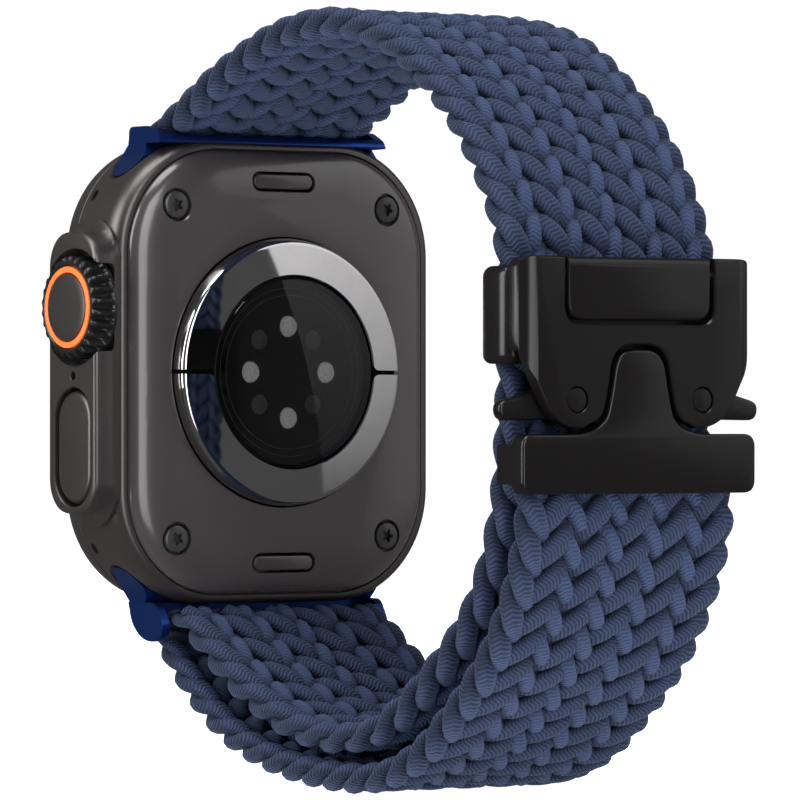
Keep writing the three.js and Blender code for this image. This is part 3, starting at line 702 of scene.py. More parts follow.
def braid(name, strap, material, *course):
    """One run of the strap: every cord as its own rounded tube."""
    sides = CORD_SIDES
    width, height = strap.cord_width / MM / 2, strap.cord_height / MM / 2
    turn = (np.arange(sides) + 0.5) * 2 * np.pi / sides
    points, faces, coords, depths, plains = [], [], [], [], []
    base = 0
    for path, core, up, scale, broad, tall, plain in cord_paths(strap, *course):
        along = np.gradient(path, axis=0)
        along /= np.linalg.norm(along, axis=1, keepdims=True)
        side = np.cross(along, up)
        side /= np.linalg.norm(side, axis=1, keepdims=True)
        top = np.cross(side, along)
        ring = (path[:, None] + width * broad[:, None, None] * np.cos(turn)[None, :, None] * side[:, None]
                + height * (scale * tall)[:, None, None] * np.sin(turn)[None, :, None] * top[:, None])
        points.append(ring.reshape(-1, 3))
        # how far each point stands from the strap's middle, which the cord colour turns into painted shade in the
        # creases
        rise = np.einsum("ijk,ik->ij", ring - core[:, None], up)
        depths.append(np.abs(rise / (THICK / 2 * scale[:, None])).ravel())
        plains.append(np.repeat(plain, sides))
        travel = np.concatenate([[0], np.cumsum(np.linalg.norm(np.diff(path, axis=0), axis=1))])
        for i in range(len(path) - 1):
            for j in range(sides):
                n = (j + 1) % sides
                low, high = base + i * sides, base + (i + 1) * sides
                faces.append((low + j, low + n, high + n, high + j))
                u0, u1 = travel[i] / STITCH, travel[i + 1] / STITCH
                v0, v1 = j / sides, (j + 1) / sides
                coords.extend([(u0, v0), (u0, v1), (u1, v1), (u1, v0)])
        for i in (0, len(path) - 1):
            faces.append(tuple(base + i * sides + j for j in range(sides)))
            coords.extend([(travel[i] / STITCH, j / sides) for j in range(sides)])
        base += len(path) * sides
    mesh = new_mesh(name, np.concatenate(points), faces)
    layer = mesh.uv_layers.new(name="cord")
    layer.data.foreach_set("uv", np.array(coords, np.float32).ravel())
    for title, values in (("depth", depths), ("plain", plains)):
        spread = mesh.attributes.new(title, "FLOAT", "POINT")
        spread.data.foreach_set("value", np.concatenate(values).astype(np.float32))
    mesh.materials.append(material)
    mesh.shade_smooth()
    return place_mesh(name, mesh)


class TRACKER_OT_strap(bpy.types.Operator):
    """Braid the strap: over the top, through the clip, back round the bar and out to the tongue"""
    bl_idname = "tracker.strap"
    bl_label = "Braided strap"

    def execute(self, context):
        strap = settings()[0]
        cord = finish_for(braided_cord, "Braided cord", strap.colour)
        first = 0.0
        pitch = strap.row_pitch / MM
        for name, run, node, stretch, lean, lay in RUNS:
            piece = braid(name, strap, cord, run, first, pitch * stretch, lean, lay)
            first += centre_line(run)[4]
            if name == "strap_outer":
                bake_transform(piece)
            else:
                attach(piece, "band")
            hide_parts(node)
        return {"FINISHED"}


# ---- case ----------------------------------------------------------------------------------

CASE = (41.0, 49.0, 12.0)
RIM = (38.5, 47.7, 11.6)
COVER = (37.7, 46.9, 11.3)
SCREWS = [(sx * 13.55, sz * 17.5) for sx, sz in ((1, 1), (1, -1), (-1, 1), (-1, -1))]
RELEASE_Z = 20.2
SLOT = (BACK_Y - 6.2, 22.7)
CROWN = (BACK_Y - 4.9, 6.7)
BUTTON = (BACK_Y - 5.3, -7.9)
ACTION = (BACK_Y - 6.0, 6.0)
GUARD_BLEND = 1.4
SENSOR_RADIUS = 14.25
WINDOW_RADIUS = 9.9
SPOT_CIRCLE = 4.85  # radius of the circle that the lamps and detectors stand on


def between(first, second, t):
    return tuple(a + (b - a) * t for a, b in zip(first, second))


def slot_channel(sign, radius, mouth, half, top):
    """The tube and mouth that an adapter slides in, as outlines swept along X."""
    low, high = sorted((sign * SLOT[1], sign * top))
    tube = slab_x("tool", circle(radius, 40, (SLOT[0], sign * SLOT[1])), -half, half)
    gap = rounded_rect(2 * mouth, high - low, 0.01, 1, (SLOT[0], (low + high) / 2))
    return tube, slab_x("tool", gap, -half, half)


def above(profile):
    """A profile of (radius, height over the cover's face), with heights in the frame."""
    return [(radius, BACK_Y + height) for radius, height in profile]


def guard_block():
    """The raised guard round crown and button, flared softly into the case side."""
    rings = []
    for x in (18.2, 19.4, 20.5, 20.7, 21.0, 21.4, 21.9, 22.4, 22.95, 23.15, 23.26, 23.3):
        reach = max(0.0, 20.5 + GUARD_BLEND - max(x, 20.5))
        flare = GUARD_BLEND - math.sqrt(max(0.0, GUARD_BLEND**2 - reach**2))
        soft = max(0.0, x - 22.95)
        shrink = 0.35 - math.sqrt(max(0.0, 0.35**2 - soft**2))
        back = BACK_Y - 1.0 - 0.75 * float(ease((21.6 - x) / 2.4)) - shrink
        front = BACK_Y - 9.95 - 0.5 * flare + shrink
        z_high, z_low = 14.6 + flare - shrink, -14.85 - flare + shrink
        rings.append(facing_x(rounded_rect(back - front, z_high - z_low, 3.4 + 0.4 * flare, 14,
                                           ((back + front) / 2, (z_high + z_low) / 2)), x))
    return loft("guard", rings)


class TRACKER_OT_case(bpy.types.Operator):
    """Build the case with its guard, the glass and the skin-side cover with its screws"""
    bl_idname = "tracker.case"
    bl_label = "Case and cover"

    def execute(self, context):
        case = settings()[1]
        metal = finish_for(blasted_metal, "Blasted graphite metal", case.metal)
        gloss = finish_for(polished_cover, "Polished dark cover", case.cover)
        quarter = np.linspace(0, math.pi / 2, 9)
        front = [(3.0 * (1 - math.cos(a)) - 12.2, 1.4 * (1 - math.sin(a))) for a in quarter]
        seam = [(-9.15, 0.0), (-9.1, 0.12), (-8.95, 0.12), (-8.9, 0.0)]
        stations = [(y, (CASE[0] - 2 * d, CASE[1] - 2 * d, CASE[2] - d)) for y, d in front + seam]
        stations += [(2.15 * math.sin(a) - 3.7, between(CASE, RIM, 1 - math.cos(a))) for a in quarter]
        body = loft("case_shell", [facing_y(rounded_rect(*size, 20), BACK_Y + y) for y, size in stations])
        combine(body, [guard_block()], "UNION")
        seat = rounded_rect(COVER[0] + 0.3, COVER[1] + 0.3, COVER[2] + 0.15, 20)
        tools = [slab_y("tool", seat, BACK_Y - 2.6, BACK_Y + 2),
                 slab_y("tool", rounded_rect(35.8, 37.8, 7), BACK_Y - 14, BACK_Y + 2),
                 slab_y("tool", rounded_rect(37.9, 45.9, 10.6, 20), BACK_Y - 14, BACK_Y - 10.1)]
        for sign in (1, -1):
            tools += slot_channel(sign, 2.4, 1.75, 24, 28)
            tools.append(slab_y("tool", pill(8.1, 2.1, centre=(0, sign * RELEASE_Z)), BACK_Y - 5, BACK_Y + 1))
        crown_seat = [(5.3, 20.75), (5.75, 20.9), (6.0, 21.3), (6.05, 23.0), (6.25, 23.5), (6.25, 26)]
        tools.append(turned("tool", crown_seat, CROWN, "X"))
        tools.append(slab_x("tool", circle(2.1, 32, CROWN), 14, 24))
        tools.append(well_x(pill(7.1, 12.5, 18, BUTTON), 20.6, 23.3))
        tools.append(well_x(circle(0.45, 20, (BACK_Y - 5.3, -0.45)), 22, 23.3, 0.08))
        tools.append(well_x(pill(5.0, 14.6, 18, ACTION), -18.9, -20.5))
        tools += [well_x(pill(1.4, 2.8, centre=(BACK_Y - 6, z)), -17, -20.5, 0.1) for z in (-6, -9.5)]
        for sign in (1, -1):
            profile = [(0.85, 13.0), (0.62, 12.05), (0.6, 11.9), (0.55, 10.6)]
            hole = turned("tool", profile, (0, 0), "X", steps=24)
            hole.scale = (1, 0.8, 1.15)
            hole.rotation_euler = (0, -sign * math.radians(30.7), 0)
            hole.location = Vector((8.5, BACK_Y - 8.0, sign * 12.5)) * MM
            tools.append(hole)
        combine(body, tools)
        paint(body, metal)
        settle(body, "case", "graphite", "case_body")
        crystal = slab_y("front_glass", rounded_rect(37.3, 45.3, 10.3, 20), BACK_Y - 12.1, BACK_Y - 11.1,
                         finish_for(black_crystal, "Black crystal"), low_round=0.5)
        settle(crystal, "case", "black_glass", "front_crystal")
        self.cover(gloss)
        self.screws()
        return {"FINISHED"}

    def cover(self, gloss):
        rings = [(-2.6, 0.0), (-1.75, 0.0), (-1.4, 0.06), (-1.1, 0.25), (-0.82, 0.6), (-0.6, 1.1),
                 (-0.4, 1.8), (-0.23, 2.7), (-0.09, 3.8), (0.0, 5.2)]
        cover = loft("skin_cover", [facing_y(inset(rounded_rect(*COVER, 20), d), BACK_Y + y) for y, d in rings])
        tools = [well_y(circle(1.75, 40, place), BACK_Y - 1.2, BACK_Y, 0.14) for place in SCREWS]
        tools += [well_y(pill(8.1, 2.1, centre=(0, s * RELEASE_Z)), BACK_Y - 5, BACK_Y, 0.14) for s in (1, -1)]
        tools.append(slab_y("tool", circle(SENSOR_RADIUS + 0.12, 96), BACK_Y - 5, BACK_Y + 1))
        tools.append(slab_y("tool", rounded_rect(34, 42, 9), BACK_Y - 4, BACK_Y - 1.7))
        combine(cover, tools)
        paint(cover, gloss)
        settle(cover, "case", "gloss_cover", "back_cover")

    def screws(self):
        black = finish_for(satin_coating, "Blackened screw", (0.03, 0.03, 0.032))
        for i, place in enumerate(SCREWS):
            profile = above([(0.75, -6), (0.75, -1.1), (1.42, -0.95), (1.44, -0.4), (1.36, -0.22), (1.2, -0.15),
                             (0, -0.12)])
            head = turned(f"cover_screw_{i + 1}", profile, place, "Y", steps=40)
            star = np.arange(60) * 2 * math.pi / 60
            lobes = 0.58 + 0.16 * np.cos(5 * star + i)
            recess = np.stack([place[0] + lobes * np.cos(star), place[1] + lobes * np.sin(star)], 1)
            combine(head, [slab_y("tool", recess, BACK_Y - 0.75, BACK_Y + 1)])
            paint(head, black)
            settle(head, "case", "black_metal", f"back_screw_{i + 1}")


# ---- sensor --------------------------------------------------------------------------------


def dome(radius):
    """Height of the sensor's dome over the cover at a radius."""
    return 2.5 - 1.05 * (radius / SENSOR_RADIUS) ** 2


def split_line(sign):
    """Outline on the far side of the slit, whose corners round off at the window."""
    x = np.concatenate([np.linspace(-20, -11.2, 6), np.linspace(-11.0, -10.15, 9), [0],
                        np.linspace(10.15, 11.0, 9), np.linspace(11.2, 20, 6)])
    near = np.clip((11.0 - np.abs(x)) / 0.85, 0, 1)
    half = 0.23 + 0.85 * (1 - np.sqrt(1 - near**2))
    edge = np.stack([x, sign * half], 1)
    return np.concatenate([edge, [(20, -sign * 20), (-20, -sign * 20)]])


class TRACKER_OT_sensor(bpy.types.Operator):
    """Build the domed sensor: two mirror electrodes, smoked window, lamps and light detectors"""
    bl_idname = "tracker.sensor"
    bl_label = "Sensor"

    def execute(self, context):
        film = finish_for(mirror_film, "Mirror film", (0.50, 0.49, 0.49))
        arc = np.linspace(10.32, 13.72, 12)
        profile = above([(10.2, -1.0), (10.2, dome(10.2) - 0.12), *[(r, dome(r)) for r in arc],
                         (13.86, dome(13.8) - 0.1), (13.98, dome(13.8) - 0.35), (14.15, 0.5), (14.22, 0.1),
                         (14.22, -1.0)])
        for name, sign in (("upper", 1), ("lower", -1)):
            half = turned(f"electrode_plate_{name}", profile, (0, 0), "Y", steps=144, ring=True)
            combine(half, [slab_y("tool", split_line(sign), BACK_Y - 3, BACK_Y + 5)])
            paint(half, film)
            settle(half, "case", "electrode", f"electrode_{name}")
        black = finish_for(matt_black, "Black sensor plastic")
        profile = above([(14.1, -0.95), (14.1, -0.6), (10.1, -0.6), (10.1, dome(10.2) - 0.35),
                         (9.95, dome(10.0) - 0.3), (9.93, -0.95)])
        bed = turned("sensor_bed", profile, (0, 0), "Y", black, 96, ring=True)
        settle(bed, "case", "black_plastic")
        profile = above([(WINDOW_RADIUS, 1.2), (WINDOW_RADIUS, dome(WINDOW_RADIUS) - 0.1),
                         *[(r, dome(r)) for r in np.linspace(9.82, 0, 14)]])
        window = turned("smoked_window", profile, (0, 0), "Y", finish_for(smoked_window, "Smoked window"), 96)
        settle(window, "case", "black_glass", "sensor_window")
        self.lamps(black)
        return {"FINISHED"}

    def lamps(self, black):
        base = turned("sensor_well", above([(9.7, -1.6), (9.7, 0.9), (0, 0.9)]), (0, 0), "Y", steps=96)
        tools = []
        eighths = [i * math.pi / 4 for i in range(8)]
        spots = [(SPOT_CIRCLE * math.sin(a), SPOT_CIRCLE * math.cos(a)) for a in eighths]
        for i, place in enumerate(spots):
            if i % 2:
                tools.append(well_y(circle(1.75, 32, place), BACK_Y + 0.62, BACK_Y + 0.9, 0.06))
                tools.append(slab_y("tool", circle(1.3, 32, place), BACK_Y - 0.9, BACK_Y + 1.5))
            else:
                tools.append(slab_y("tool", circle(1.25, 32, place), BACK_Y - 0.9, BACK_Y + 1.5))
        combine(base, tools)
        paint(base, black)
        settle(base, "case", "black_plastic", "sensor_frame")
        # 0.3 is the strength of the painted glow on the lamp lenses
        lamp = finish_for(lens_resin, "Lamp resin", (0.75, 0.73, 0.71), 0.3)
        detector = finish_for(satin_plastic, "Detector chip", (0.12, 0.116, 0.12), 0.3)
        line = finish_for(satin_plastic, "Printed ring", (0.09, 0.087, 0.09), 0.4)
        for i, radius in enumerate((8.9, 8.15)):
            profile = above([(radius - 0.05, 0.88), (radius - 0.05, 0.95), (radius + 0.05, 0.95),
                             (radius + 0.05, 0.88)])
            mark = turned(f"sensor_ring_{i + 1}", profile, (0, 0), "Y", line, 96, ring=True)
            settle(mark, "case", "black_plastic")
        for i, place in enumerate(spots):
            bright = i % 2 == 0
            node = f"led_lens_{i // 2 + 1}" if bright else f"photodiode_{(i + 1) // 2}"
            high = 0.95 if bright else 0.45
            profile = above([(1.1, -0.7), (1.1, high - 0.3), (1.0, high - 0.12), (0.6, high - 0.03), (0, high)])
            lens = turned(f"sensor_spot_{i + 1}", profile, place, "Y", lamp if bright else detector, 32)
            settle(lens, "case", "clear_lens", node)


# ---- crown and buttons ---------------------------------------------------------------------


# Station along X, outer radius, and how deep the notches are there.
WHEEL_PROFILE = [(21.2, 5.05, 0), (21.4, 5.33, 0), (21.8, 5.4, 0.02), (22.0, 5.4, 0.45), (22.25, 5.4, 0.66),
                 (23.3, 5.4, 0.66), (23.75, 5.36, 0.6), (24.02, 5.22, 0.5), (24.18, 5.02, 0.26), (24.26, 4.8, 0.05),
                 (24.27, 4.5, 0), (24.2, 4.38, 0), (24.0, 4.33, 0), (23.55, 4.3, 0), (23.5, 0.3, 0)]


class TRACKER_OT_crown(bpy.types.Operator):
    """Turn the crown: knurled wheel, coloured ring and cap"""
    bl_idname = "tracker.crown"
    bl_label = "Crown"

    def execute(self, context):
        case = settings()[1]
        metal = finish_for(blasted_metal, "Blasted graphite metal", case.metal)
        knurl = finish_for(blasted_metal, "Dark knurled metal", (0.028, 0.027, 0.028), 0.28, 0.7)
        teeth, per_tooth = 26, 10
        turn = np.arange(teeth * per_tooth) * 2 * math.pi / (teeth * per_tooth)
        notch = np.clip(0.5 + 0.95 * np.cos(teeth * turn), 0, 1) ** 0.8
        rings = []
        for x, radius, depth in WHEEL_PROFILE:
            r = radius - depth * notch
            rings.append(facing_x(np.stack([CROWN[0] + r * np.cos(turn), CROWN[1] + r * np.sin(turn)], 1), x))
        wheel = loft("crown_drum", rings, knurl)
        settle(wheel, "crown", "graphite", "crown_wheel")
        enamel = finish_for(satin_plastic, "Orange enamel", case.ring, 0.42)
        ring = turned("crown_band", [(3.62, 23.7), (3.62, 24.22), (3.68, 24.33), (3.8, 24.38), (4.08, 24.38),
                      (4.2, 24.33), (4.26, 24.22), (4.26, 23.7)], CROWN, "X", enamel, 96, ring=True)
        settle(ring, "crown", "orange_trim", "crown_ring")
        profile = [(3.55, 23.7), (3.55, 24.26), (3.5, 24.36), (3.38, 24.4), (2.6, 24.47), (1.3, 24.5), (0, 24.5)]
        cap = turned("crown_button", profile, CROWN, "X", metal, 96)
        settle(cap, "crown", "graphite", "crown_cap")
        return {"FINISHED"}


class TRACKER_OT_buttons(bpy.types.Operator):
    """Build the side button, the action button and the two band release buttons"""
    bl_idname = "tracker.buttons"
    bl_label = "Buttons"

    def execute(self, context):
        case = settings()[1]
        metal = finish_for(blasted_metal, "Blasted graphite metal", case.metal)
        side = slab_x("side_key_cap", pill(6.4, 11.8, 18, BUTTON), 21.3, 23.15, metal, high_round=0.55, steps=6)
        settle(side, "side_key", "graphite", "side_button")
        action = slab_x("action_key_cap", pill(4.4, 14, 18, ACTION), -20.9, -19.7,
                        finish_for(satin_plastic, "Orange enamel", case.ring, 0.42), low_round=0.45, steps=6)
        settle(action, "action_key", "orange_trim", "action_button")
        gloss = finish_for(polished_cover, "Polished release button", shade(case.cover, 0.8))
        for name, sign in (("upper", 1), ("lower", -1)):
            key = slab_y(f"release_pad_{name}", pill(7.6, 1.6, centre=(0, sign * RELEASE_Z)), BACK_Y - 3.3,
                         BACK_Y - 0.15, gloss, high_round=0.25)
            settle(key, f"release_key_{name}", "black_metal", f"release_button_{name}")
        return {"FINISHED"}


# ---- band adapters -------------------------------------------------------------------------


def strap_space(points, grow=0.3, width=27.2):
    """A cutter that follows a strap run, with a clearance of grow all round its thickness."""
    even, line, normal, thick = centre_line(points)[:4]
    pick = np.unique(np.linspace(0, len(even) - 1, 90).astype(int))
    half = thick[pick, None] / 2 + grow
    outline = np.concatenate([line[pick] + normal[pick] * half, (line[pick] - normal[pick] * half)[::-1]])
    return slab_x("tool", outline, -width / 2, width / 2)


# Each adapter: its side of the case, the side outline of its foot as (y from the cover, z, cut), and the strap runs
# that go through it.
ADAPTERS = [
    ("upper", 1, [(-7.9, 24.0, 0.3), (-1.9, 24.1, 0.3), (-2.2, 24.9, 0.5), (-4.2, 25.9, 0.6), (-7.9, 25.9, 0.8)],
     [UPPER_LINE]),
    ("lower", -1, [(-8.0, -24.2, 0.3), (-7.4, -26.6, 1.8), (-5.2, -28.3, 1.8), (-2.4, -28.4, 1.4),
                   (-1.2, -26.9, 1.2), (-2.8, -24.3, 0.8)], [INNER_LINE, OUTER_LINE])]


class TRACKER_OT_adapters(bpy.types.Operator):
    """Build the two anodised adapters that slide into the case"""
    bl_idname = "tracker.adapters"
    bl_label = "Band adapters"

    def execute(self, context):
        blue = finish_for(blasted_metal, "Blue anodised metal", settings()[2].blue, 0.3, 0.9)
        for name, sign, arm, runs in ADAPTERS:
            piece, neck = slot_channel(sign, 2.1, 1.4, 19, 25.6)
            piece.name = f"adapter_{name}_body"
            outline = rounded_polygon([(BACK_Y + y, z, cut) for y, z, cut in arm])
            combine(piece, [neck, slab_x("tool", outline, -19, 19)], "UNION")
            ends = [(14.55, 31, 0), (14.55, 23.4, 1.6), (17.6, 20.2, 0.8), (17.6, 19, 0)]
            outline = rounded_polygon([(x, sign * z, cut) for x, z, cut in mirrored(ends)])
            combine(piece, [slab_y("tool", outline, BACK_Y - 12, BACK_Y + 4)], "INTERSECT")
            low, high = sorted((sign * 20, sign * 22.4))
            if sign < 0:
                combine(piece, [box_tool(-13.6, 13.6, BACK_Y - 4.9, BACK_Y + 1, -30, -24.3)])
            combine(piece, [strap_space(run) for run in runs]
                    + [box_tool(-3.3, 3.3, BACK_Y - 5.9, BACK_Y - 3, low, high)])
            edge = piece.modifiers.new("edge", "BEVEL")
            edge.width = 0.22 * MM
            edge.segments = 2
            edge.limit_method = "ANGLE"
            edge.angle_limit = math.radians(50)
            paint(piece, blue)
            settle(piece, "band", "blue_metal", f"adapter_{name}")
        return {"FINISHED"}


# ---- buckle --------------------------------------------------------------------------------

RIVET = (7.8, -3.07)
RIVETS = [("right", RIVET, "rivet_left"), ("left", (-RIVET[0], RIVET[1]), "rivet_right")]
RIVET_HEAD = 1.22
CLIP_HALF = 14.6
ROLL_RADIUS = 2.3


def roll_section(depth=6.0):
    """X-Y section of the clip: flat face whose two sides roll back."""
    return rounded_rect(2 * CLIP_HALF, depth, ROLL_RADIUS, 12, (0, BUCKLE_Y - depth / 2))


def on_face(profile):
    """A profile of (radius, depth behind the clip's face), with depths in the frame."""
    return [(radius, BUCKLE_Y - depth) for radius, depth in profile]


class TRACKER_OT_clip(bpy.types.Operator):
    """Build the clip: face plate, sleeve behind it, cam lever and rivets"""
    bl_idname = "tracker.clip"
    bl_label = "Clip"

    def execute(self, context):
        buckle = settings()[2]
        black = finish_for(satin_coating, "Satin black coating", buckle.black)
        face = BUCKLE_Y
        corners = [(CLIP_HALF, 10.9, 2.2), (CLIP_HALF, 2.1, 2.5), (10.4, -5.85, 3.1), (3, -5.85, 0)]
        outline = rounded_polygon(mirrored(corners), 12)
        plate = slab_y("clip_face", outline, face - 2.6, face, high_round=buckle.roll / MM * 0.5)
        combine(plate, [slab_z("tool", roll_section(), -12, 14)], "INTERSECT")
        corners = [(8.6, -9, 0), (7.35, -5.75, 1.4), (4.75, -5.0, 2.0), (4.05, -2.6, 1.5), (3.25, 2.35, 2.4)]
        mouth = rounded_polygon(mirrored(corners), 12)
        notch = rounded_polygon(mirrored([(9.25, 14, 0), (9.25, 4.3, 1.9)]), 12)
        tools = [well_y(mouth, face - 5, face, 0.16), well_y(notch, face - 5, face, 0.16)]
        tools += [well_y(circle(RIVET_HEAD + 0.1, 32, place), face - 5, face, 0.05) for _, place, _ in RIVETS]
        tools.append(box_tool(-20, 20, face - 4, face - 1.3, -10, 1.7))
        combine(plate, tools)
        paint(plate, black)
        settle(plate, "band", "black_metal", "clip_plate")
        self.sleeve(black)
        side = rounded_polygon([(face - 0.12, 10.9, 1.0), (face - 1.3, 10.9, 0.4), (face - 3.35, 10.0, 0.4),
                                (face - 3.35, 8.4, 0.5), (face - 1.4, 7.6, 0.4), (face - 1.4, 4.7, 0.3),
                                (face - 0.12, 4.7, 0.4)])
        lever = slab_x("cam_lever_arm", side, -8.9, 8.9)
        shape = rounded_polygon(mirrored([(8.85, 11.5, 0), (8.85, 4.75, 1.8)]), 12)
        combine(lever, [slab_y("tool", shape, face - 6, face - 0.1, high_round=0.3)], "INTERSECT")
        paint(lever, black)
        settle(lever, "lever", "black_metal", "cam_lever")
        profile = on_face([(0.85, 4), (0.85, 1.2), (RIVET_HEAD, 1.2), (RIVET_HEAD, 0.2), (1.1, 0.1), (0, 0.06)])
        for name, place, node in RIVETS:
            rivet = turned(f"clip_rivet_{name}", profile, place, "Y", black, 48)
            settle(rivet, "band", "black_metal", node)
        return {"FINISHED"}

    def sleeve(self, black):
        middle_y = BACK_Y + 55.5
        rear, face = middle_y - 2.2, BUCKLE_Y - 2.3
        plan = rounded_polygon([(CLIP_HALF, face, 1.9), (-CLIP_HALF, face, 1.9), (-CLIP_HALF, rear, 2.4),
                                (CLIP_HALF, rear, 2.4)], 10)
        levels = rounded_ends(0.4, 10.0, 0.9, 1.1, 5)
        sleeve = loft("clip_sleeve", [facing_z(inset(plan, d), z) for z, d in levels])
        tools = [box_tool(-13.75, 13.75, rear + 0.7, middle_y + 1.8, -3, 12),
                 box_tool(-9.2, 9.2, middle_y, face + 1, 5.6, 12)]
        combine(sleeve, tools)
        paint(sleeve, black)
        ears = [slab_y("ear", rounded_rect(4.6, 9, 2, 8, (x, -1.2)), middle_y + 1.8, middle_y + 2.2)
                for x in (RIVET[0], -RIVET[0])]
        combine(sleeve, ears, "UNION")
        paint(sleeve, black)
        settle(sleeve, "band", "black_metal", "clip_frame")


def frame_side(node):
    """Which side of the middle a frame node is on: 1 for +X."""
    return 1 if middle(node)[0] > 0 else -1


class TRACKER_OT_tongue(bpy.types.Operator):
    """Build the tongue with its cross bar and the two spring catches that hold it"""
    bl_idname = "tracker.tongue"
    bl_label = "Tongue and catches"

    def execute(self, context):
        buckle = settings()[2]
        black = finish_for(satin_coating, "Satin black coating", buckle.black)
        face = BUCKLE_Y
        tip = [(14.5, -12.26, 1.35), (14.5, -6.42, 1.35), (7.0, -6.42, 1.6), (4.35, -5.5, 1.9), (3.6, -2.7, 1.5),
               (2.8, 1.85, 2.2)]
        outline = rounded_polygon(mirrored(tip), 12)
        plate = slab_y("tongue_plate", outline, face - 2.0, face, black, low_round=0.2, high_round=0.3)
        stem = slab_y("tool", rounded_polygon(mirrored([(2.5, -8, 0), (2.5, 0.6, 0.8), (1.6, 0.9, 0.4)])),
                      face - 2.9, face - 1.0)
        lugs = [box_tool(min(a, b), max(a, b), BACK_Y + 56.85, face - 1.0, -11.3, -7.4)
                for a, b in ((13.6, 14.5), (-13.6, -14.5))]
        combine(plate, [stem, *lugs], "UNION")
        combine(plate, [box_tool(-13.3, 13.3, BACK_Y + 50, face - 1.5, -13, -7.0)])
        paint(plate, black)
        settle(plate, "tongue_piece", "black_metal", "tongue")
        catch = [(16.2, -3.35, 1.0), (15.9, -5.1, 1.0), (9.6, -5.0, 0.8), (6.4, -5.2, 1.4), (3.1, -4.9, 0.3),
                 (3.1, -3.8, 0.3), (6.2, -3.2, 0.6), (6.6, -1.3, 0.9), (9.0, -1.2, 0.9), (11.2, -2.0, 0.9)]
        for name in ("left", "right"):
            sign = frame_side(f"trigger_{name}")
            outline = rounded_polygon([(sign * x, z, cut) for x, z, cut in catch][::sign])
            leaf = slab_y(f"catch_tab_{name}", outline, face - 2.9, face - 1.6, black, low_round=0.25,
                          high_round=0.3, steps=3)
            combine(leaf, [slab_y("tool", circle(1.05, 32, (sign * RIVET[0], RIVET[1])), face - 6, face)])
            settle(leaf, f"catch_{name}", "black_metal", f"trigger_{name}")
        return {"FINISHED"}


# ---- inside --------------------------------------------------------------------------------


class TRACKER_OT_inside(bpy.types.Operator):
    """Finish the parts inside the case and the hidden pins"""
    bl_idname = "tracker.inside"
    bl_label = "Inside parts and pins"

    def execute(self, context):
        coat(finish_for(blasted_metal, "Ground steel", (0.5, 0.49, 0.48), 0.25, 1.0),
             "crown_shaft", "side_button_switch", "adapter_latch_upper", "adapter_latch_lower",
             "adapter_pin_upper", "adapter_bar_lower", "lever_pin", "tongue_pin", "haptic_motor")
        coat(finish_for(satin_plastic, "Black rubber", (0.012, 0.012, 0.012), 0.7),
             "display_gasket", "back_gasket", "crown_seal")
        coat(finish_for(satin_plastic, "Battery foil", (0.11, 0.11, 0.12), 0.4), "battery")
        coat(finish_for(satin_plastic, "Speaker plastic", (0.02, 0.02, 0.022), 0.5), "speaker_module")
        coat(finish_for(circuit_board, "Circuit board"), "logic_board", "sensor_board")
        coat(finish_for(black_crystal, "Display panel"), "display_panel")
        return {"FINISHED"}


# ---- stage ---------------------------------------------------------------------------------

AIM = Vector((0.58713, 0.80949, -0.00295)).normalized()
CAMERA_PLACE = Vector((368.08, 501.30, -4.84)) * MM
SIDE = Vector((0, 0, 1)).cross(AIM).normalized()
LENS = 273.3
SENSOR_WIDTH = 36
FLOOR_RADIUS = 6000
FLOOR_SIDES = 64
WHITE = (1, 1, 1, 1)
SKY_SEEN = 1.05  # strength of the white behind the tracker
SKY_FILL = 0.11  # strength of the light that comes from it


def softbox(name, offset, size, power):
    """An area light placed by steps to the right, up and towards the camera, facing the tracker."""
    right, up, back = offset
    place = SIDE * right + Vector((0, 0, 1)) * up + AIM * back
    data = bpy.data.lights.new(name, "AREA")
    data.shape = "RECTANGLE"
    data.size, data.size_y = size
    data.energy = power
    made = bpy.data.objects.new(name, data)
    made.location = place
    made.rotation_euler = (-place).to_track_quat("-Z", "Y").to_euler()
    bpy.context.scene.collection.objects.link(made)
    return made


def glow_card(name, turn, lift, distance, size, low, high, lean):
    """A softly glowing card that only reflections and light see, dimmer at its foot.

    turn is its direction round Z from +Y towards -X, and lift is above the horizon, in degrees.
    """
    a, e = math.radians(turn), math.radians(lift)
    place = Vector((-math.sin(a) * math.cos(e), math.cos(a) * math.cos(e), math.sin(e))) * distance
    half_w, half_h = size[0] / 2 / MM, size[1] / 2 / MM
    f = Finish(name)
    height = f.node("ShaderNodeSeparateXYZ", None, {0: f.place()}, output=1)
    part = f.node("ShaderNodeMapRange", None, {0: height, 1: -half_h * MM, 2: half_h * MM, 3: 0.0, 4: 1.0})
    tone = f.blend(part, shade(WHITE, low / high), WHITE)
    glow = f.solid(Base_Color=(0, 0, 0, 1), Specular_IOR_Level=0.0, Emission_Color=tone, Emission_Strength=high)
    corners = [(-half_w, -half_h, 0), (half_w, -half_h, 0), (half_w, half_h, 0), (-half_w, half_h, 0)]
    card = make(name, corners, [(0, 1, 2, 3)], glow, smooth=False)
    facing = place.to_track_quat("Z", "Y").to_matrix()
    card.rotation_euler = (facing @ Matrix.Rotation(math.radians(lean), 3, "Z")).to_euler()
    card.location = place
    card.visible_camera = False
    card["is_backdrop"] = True
    return card


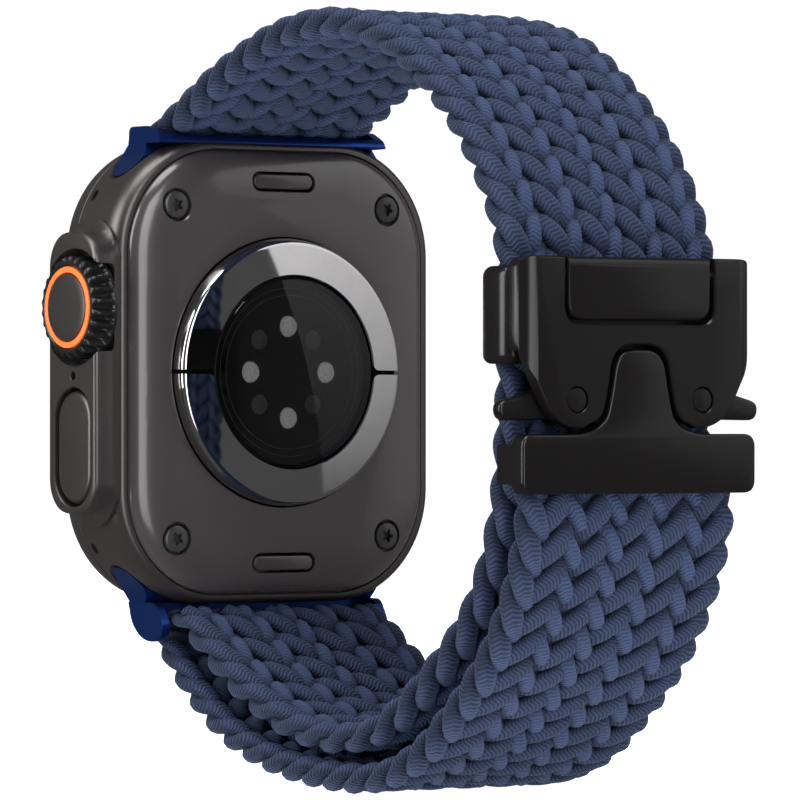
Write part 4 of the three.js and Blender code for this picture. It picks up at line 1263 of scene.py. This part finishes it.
class TRACKER_OT_stage(bpy.types.Operator):
    """Set the pale floor, the soft lights and the camera"""
    bl_idname = "tracker.stage"
    bl_label = "Stage"

    def execute(self, context):
        scene = context.scene
        scene.view_settings.view_transform = "Standard"
        scene.view_settings.look = "None"
        f = Finish("Pale floor")
        mottle = f.grain(60.0, 2.0)
        paper = f.solid(Base_Color=f.blend(mottle, (0.90, 0.90, 0.90, 1), (0.92, 0.92, 0.92, 1)), Roughness=0.9,
                        Emission_Color=WHITE, Emission_Strength=1.0)
        low = min(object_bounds()[0][2], CAD_BOUNDS[0][2]) / MM
        edge = facing_z(circle(FLOOR_RADIUS, FLOOR_SIDES), low - 0.02)
        floor = make("floor", edge, [tuple(range(FLOOR_SIDES))], paper, smooth=False)
        floor.visible_glossy = False
        floor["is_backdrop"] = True
        sky = Finish("Studio", "worlds")
        direct = sky.node("ShaderNodeLightPath")
        fill, seen = (sky.node("ShaderNodeBackground", None, {"Color": WHITE, "Strength": strength})
                      for strength in (SKY_FILL, SKY_SEEN))
        both = sky.node("ShaderNodeMixShader", None, {0: direct, 1: fill, 2: seen})
        scene.world = sky.done(both, "ShaderNodeOutputWorld")
        softbox("left box", (-0.8, 0.25, 0.35), (0.5, 0.9), 9.0)
        softbox("top box", (-0.1, 0.85, 0.2), (0.8, 0.5), 7.5)
        glow_card("right card", 57.5, 14, 0.48, (0.385, 0.5), 0.12, 1.6, 13)
        glow_card("front card", -9, 8, 0.8, (0.36, 0.8), 3.0, 6.0, 0)
        data = bpy.data.cameras.new("camera")
        data.lens = LENS
        data.sensor_width = SENSOR_WIDTH
        data.clip_start, data.clip_end = 0.02, 20
        camera = bpy.data.objects.new("camera", data)
        turn = Matrix((SIDE, AIM.cross(SIDE), AIM)).transposed()
        camera.matrix_world = Matrix.Translation(CAMERA_PLACE) @ turn.to_4x4()
        scene.collection.objects.link(camera)
        scene.camera = camera
        return {"FINISHED"}


# ---- panel and run -------------------------------------------------------------------------

STEPS = (TRACKER_OT_strap, TRACKER_OT_case, TRACKER_OT_sensor, TRACKER_OT_crown, TRACKER_OT_buttons,
         TRACKER_OT_adapters, TRACKER_OT_clip, TRACKER_OT_tongue, TRACKER_OT_inside, TRACKER_OT_stage)


class TRACKER_PT_panel(bpy.types.Panel):
    bl_label = "Braided Band Tracker"
    bl_idname = "TRACKER_PT_panel"
    bl_space_type = "VIEW_3D"
    bl_region_type = "UI"
    bl_category = "Tracker"

    def draw(self, context):
        for group in settings():
            box = self.layout.box()
            for name in group.__annotations__:
                box.prop(group, name)
        for step in STEPS:
            self.layout.operator(step.bl_idname)


CLASSES = (TrackerStrapSettings, TrackerCaseSettings, TrackerBuckleSettings, *STEPS, TRACKER_PT_panel)
GROUPS = {"tracker_strap": TrackerStrapSettings, "tracker_case": TrackerCaseSettings,
          "tracker_buckle": TrackerBuckleSettings}


def register():
    for cls in CLASSES:
        bpy.utils.register_class(cls)
    for name, group in GROUPS.items():
        setattr(bpy.types.Scene, name, bpy.props.PointerProperty(type=group))


def unregister():
    for name in GROUPS:
        delattr(bpy.types.Scene, name)
    for cls in reversed(CLASSES):
        bpy.utils.unregister_class(cls)


def main():
    register()
    for step in STEPS:
        group, name = step.bl_idname.split(".")
        getattr(getattr(bpy.ops, group), name)()


if __name__ == "__main__":
    main()
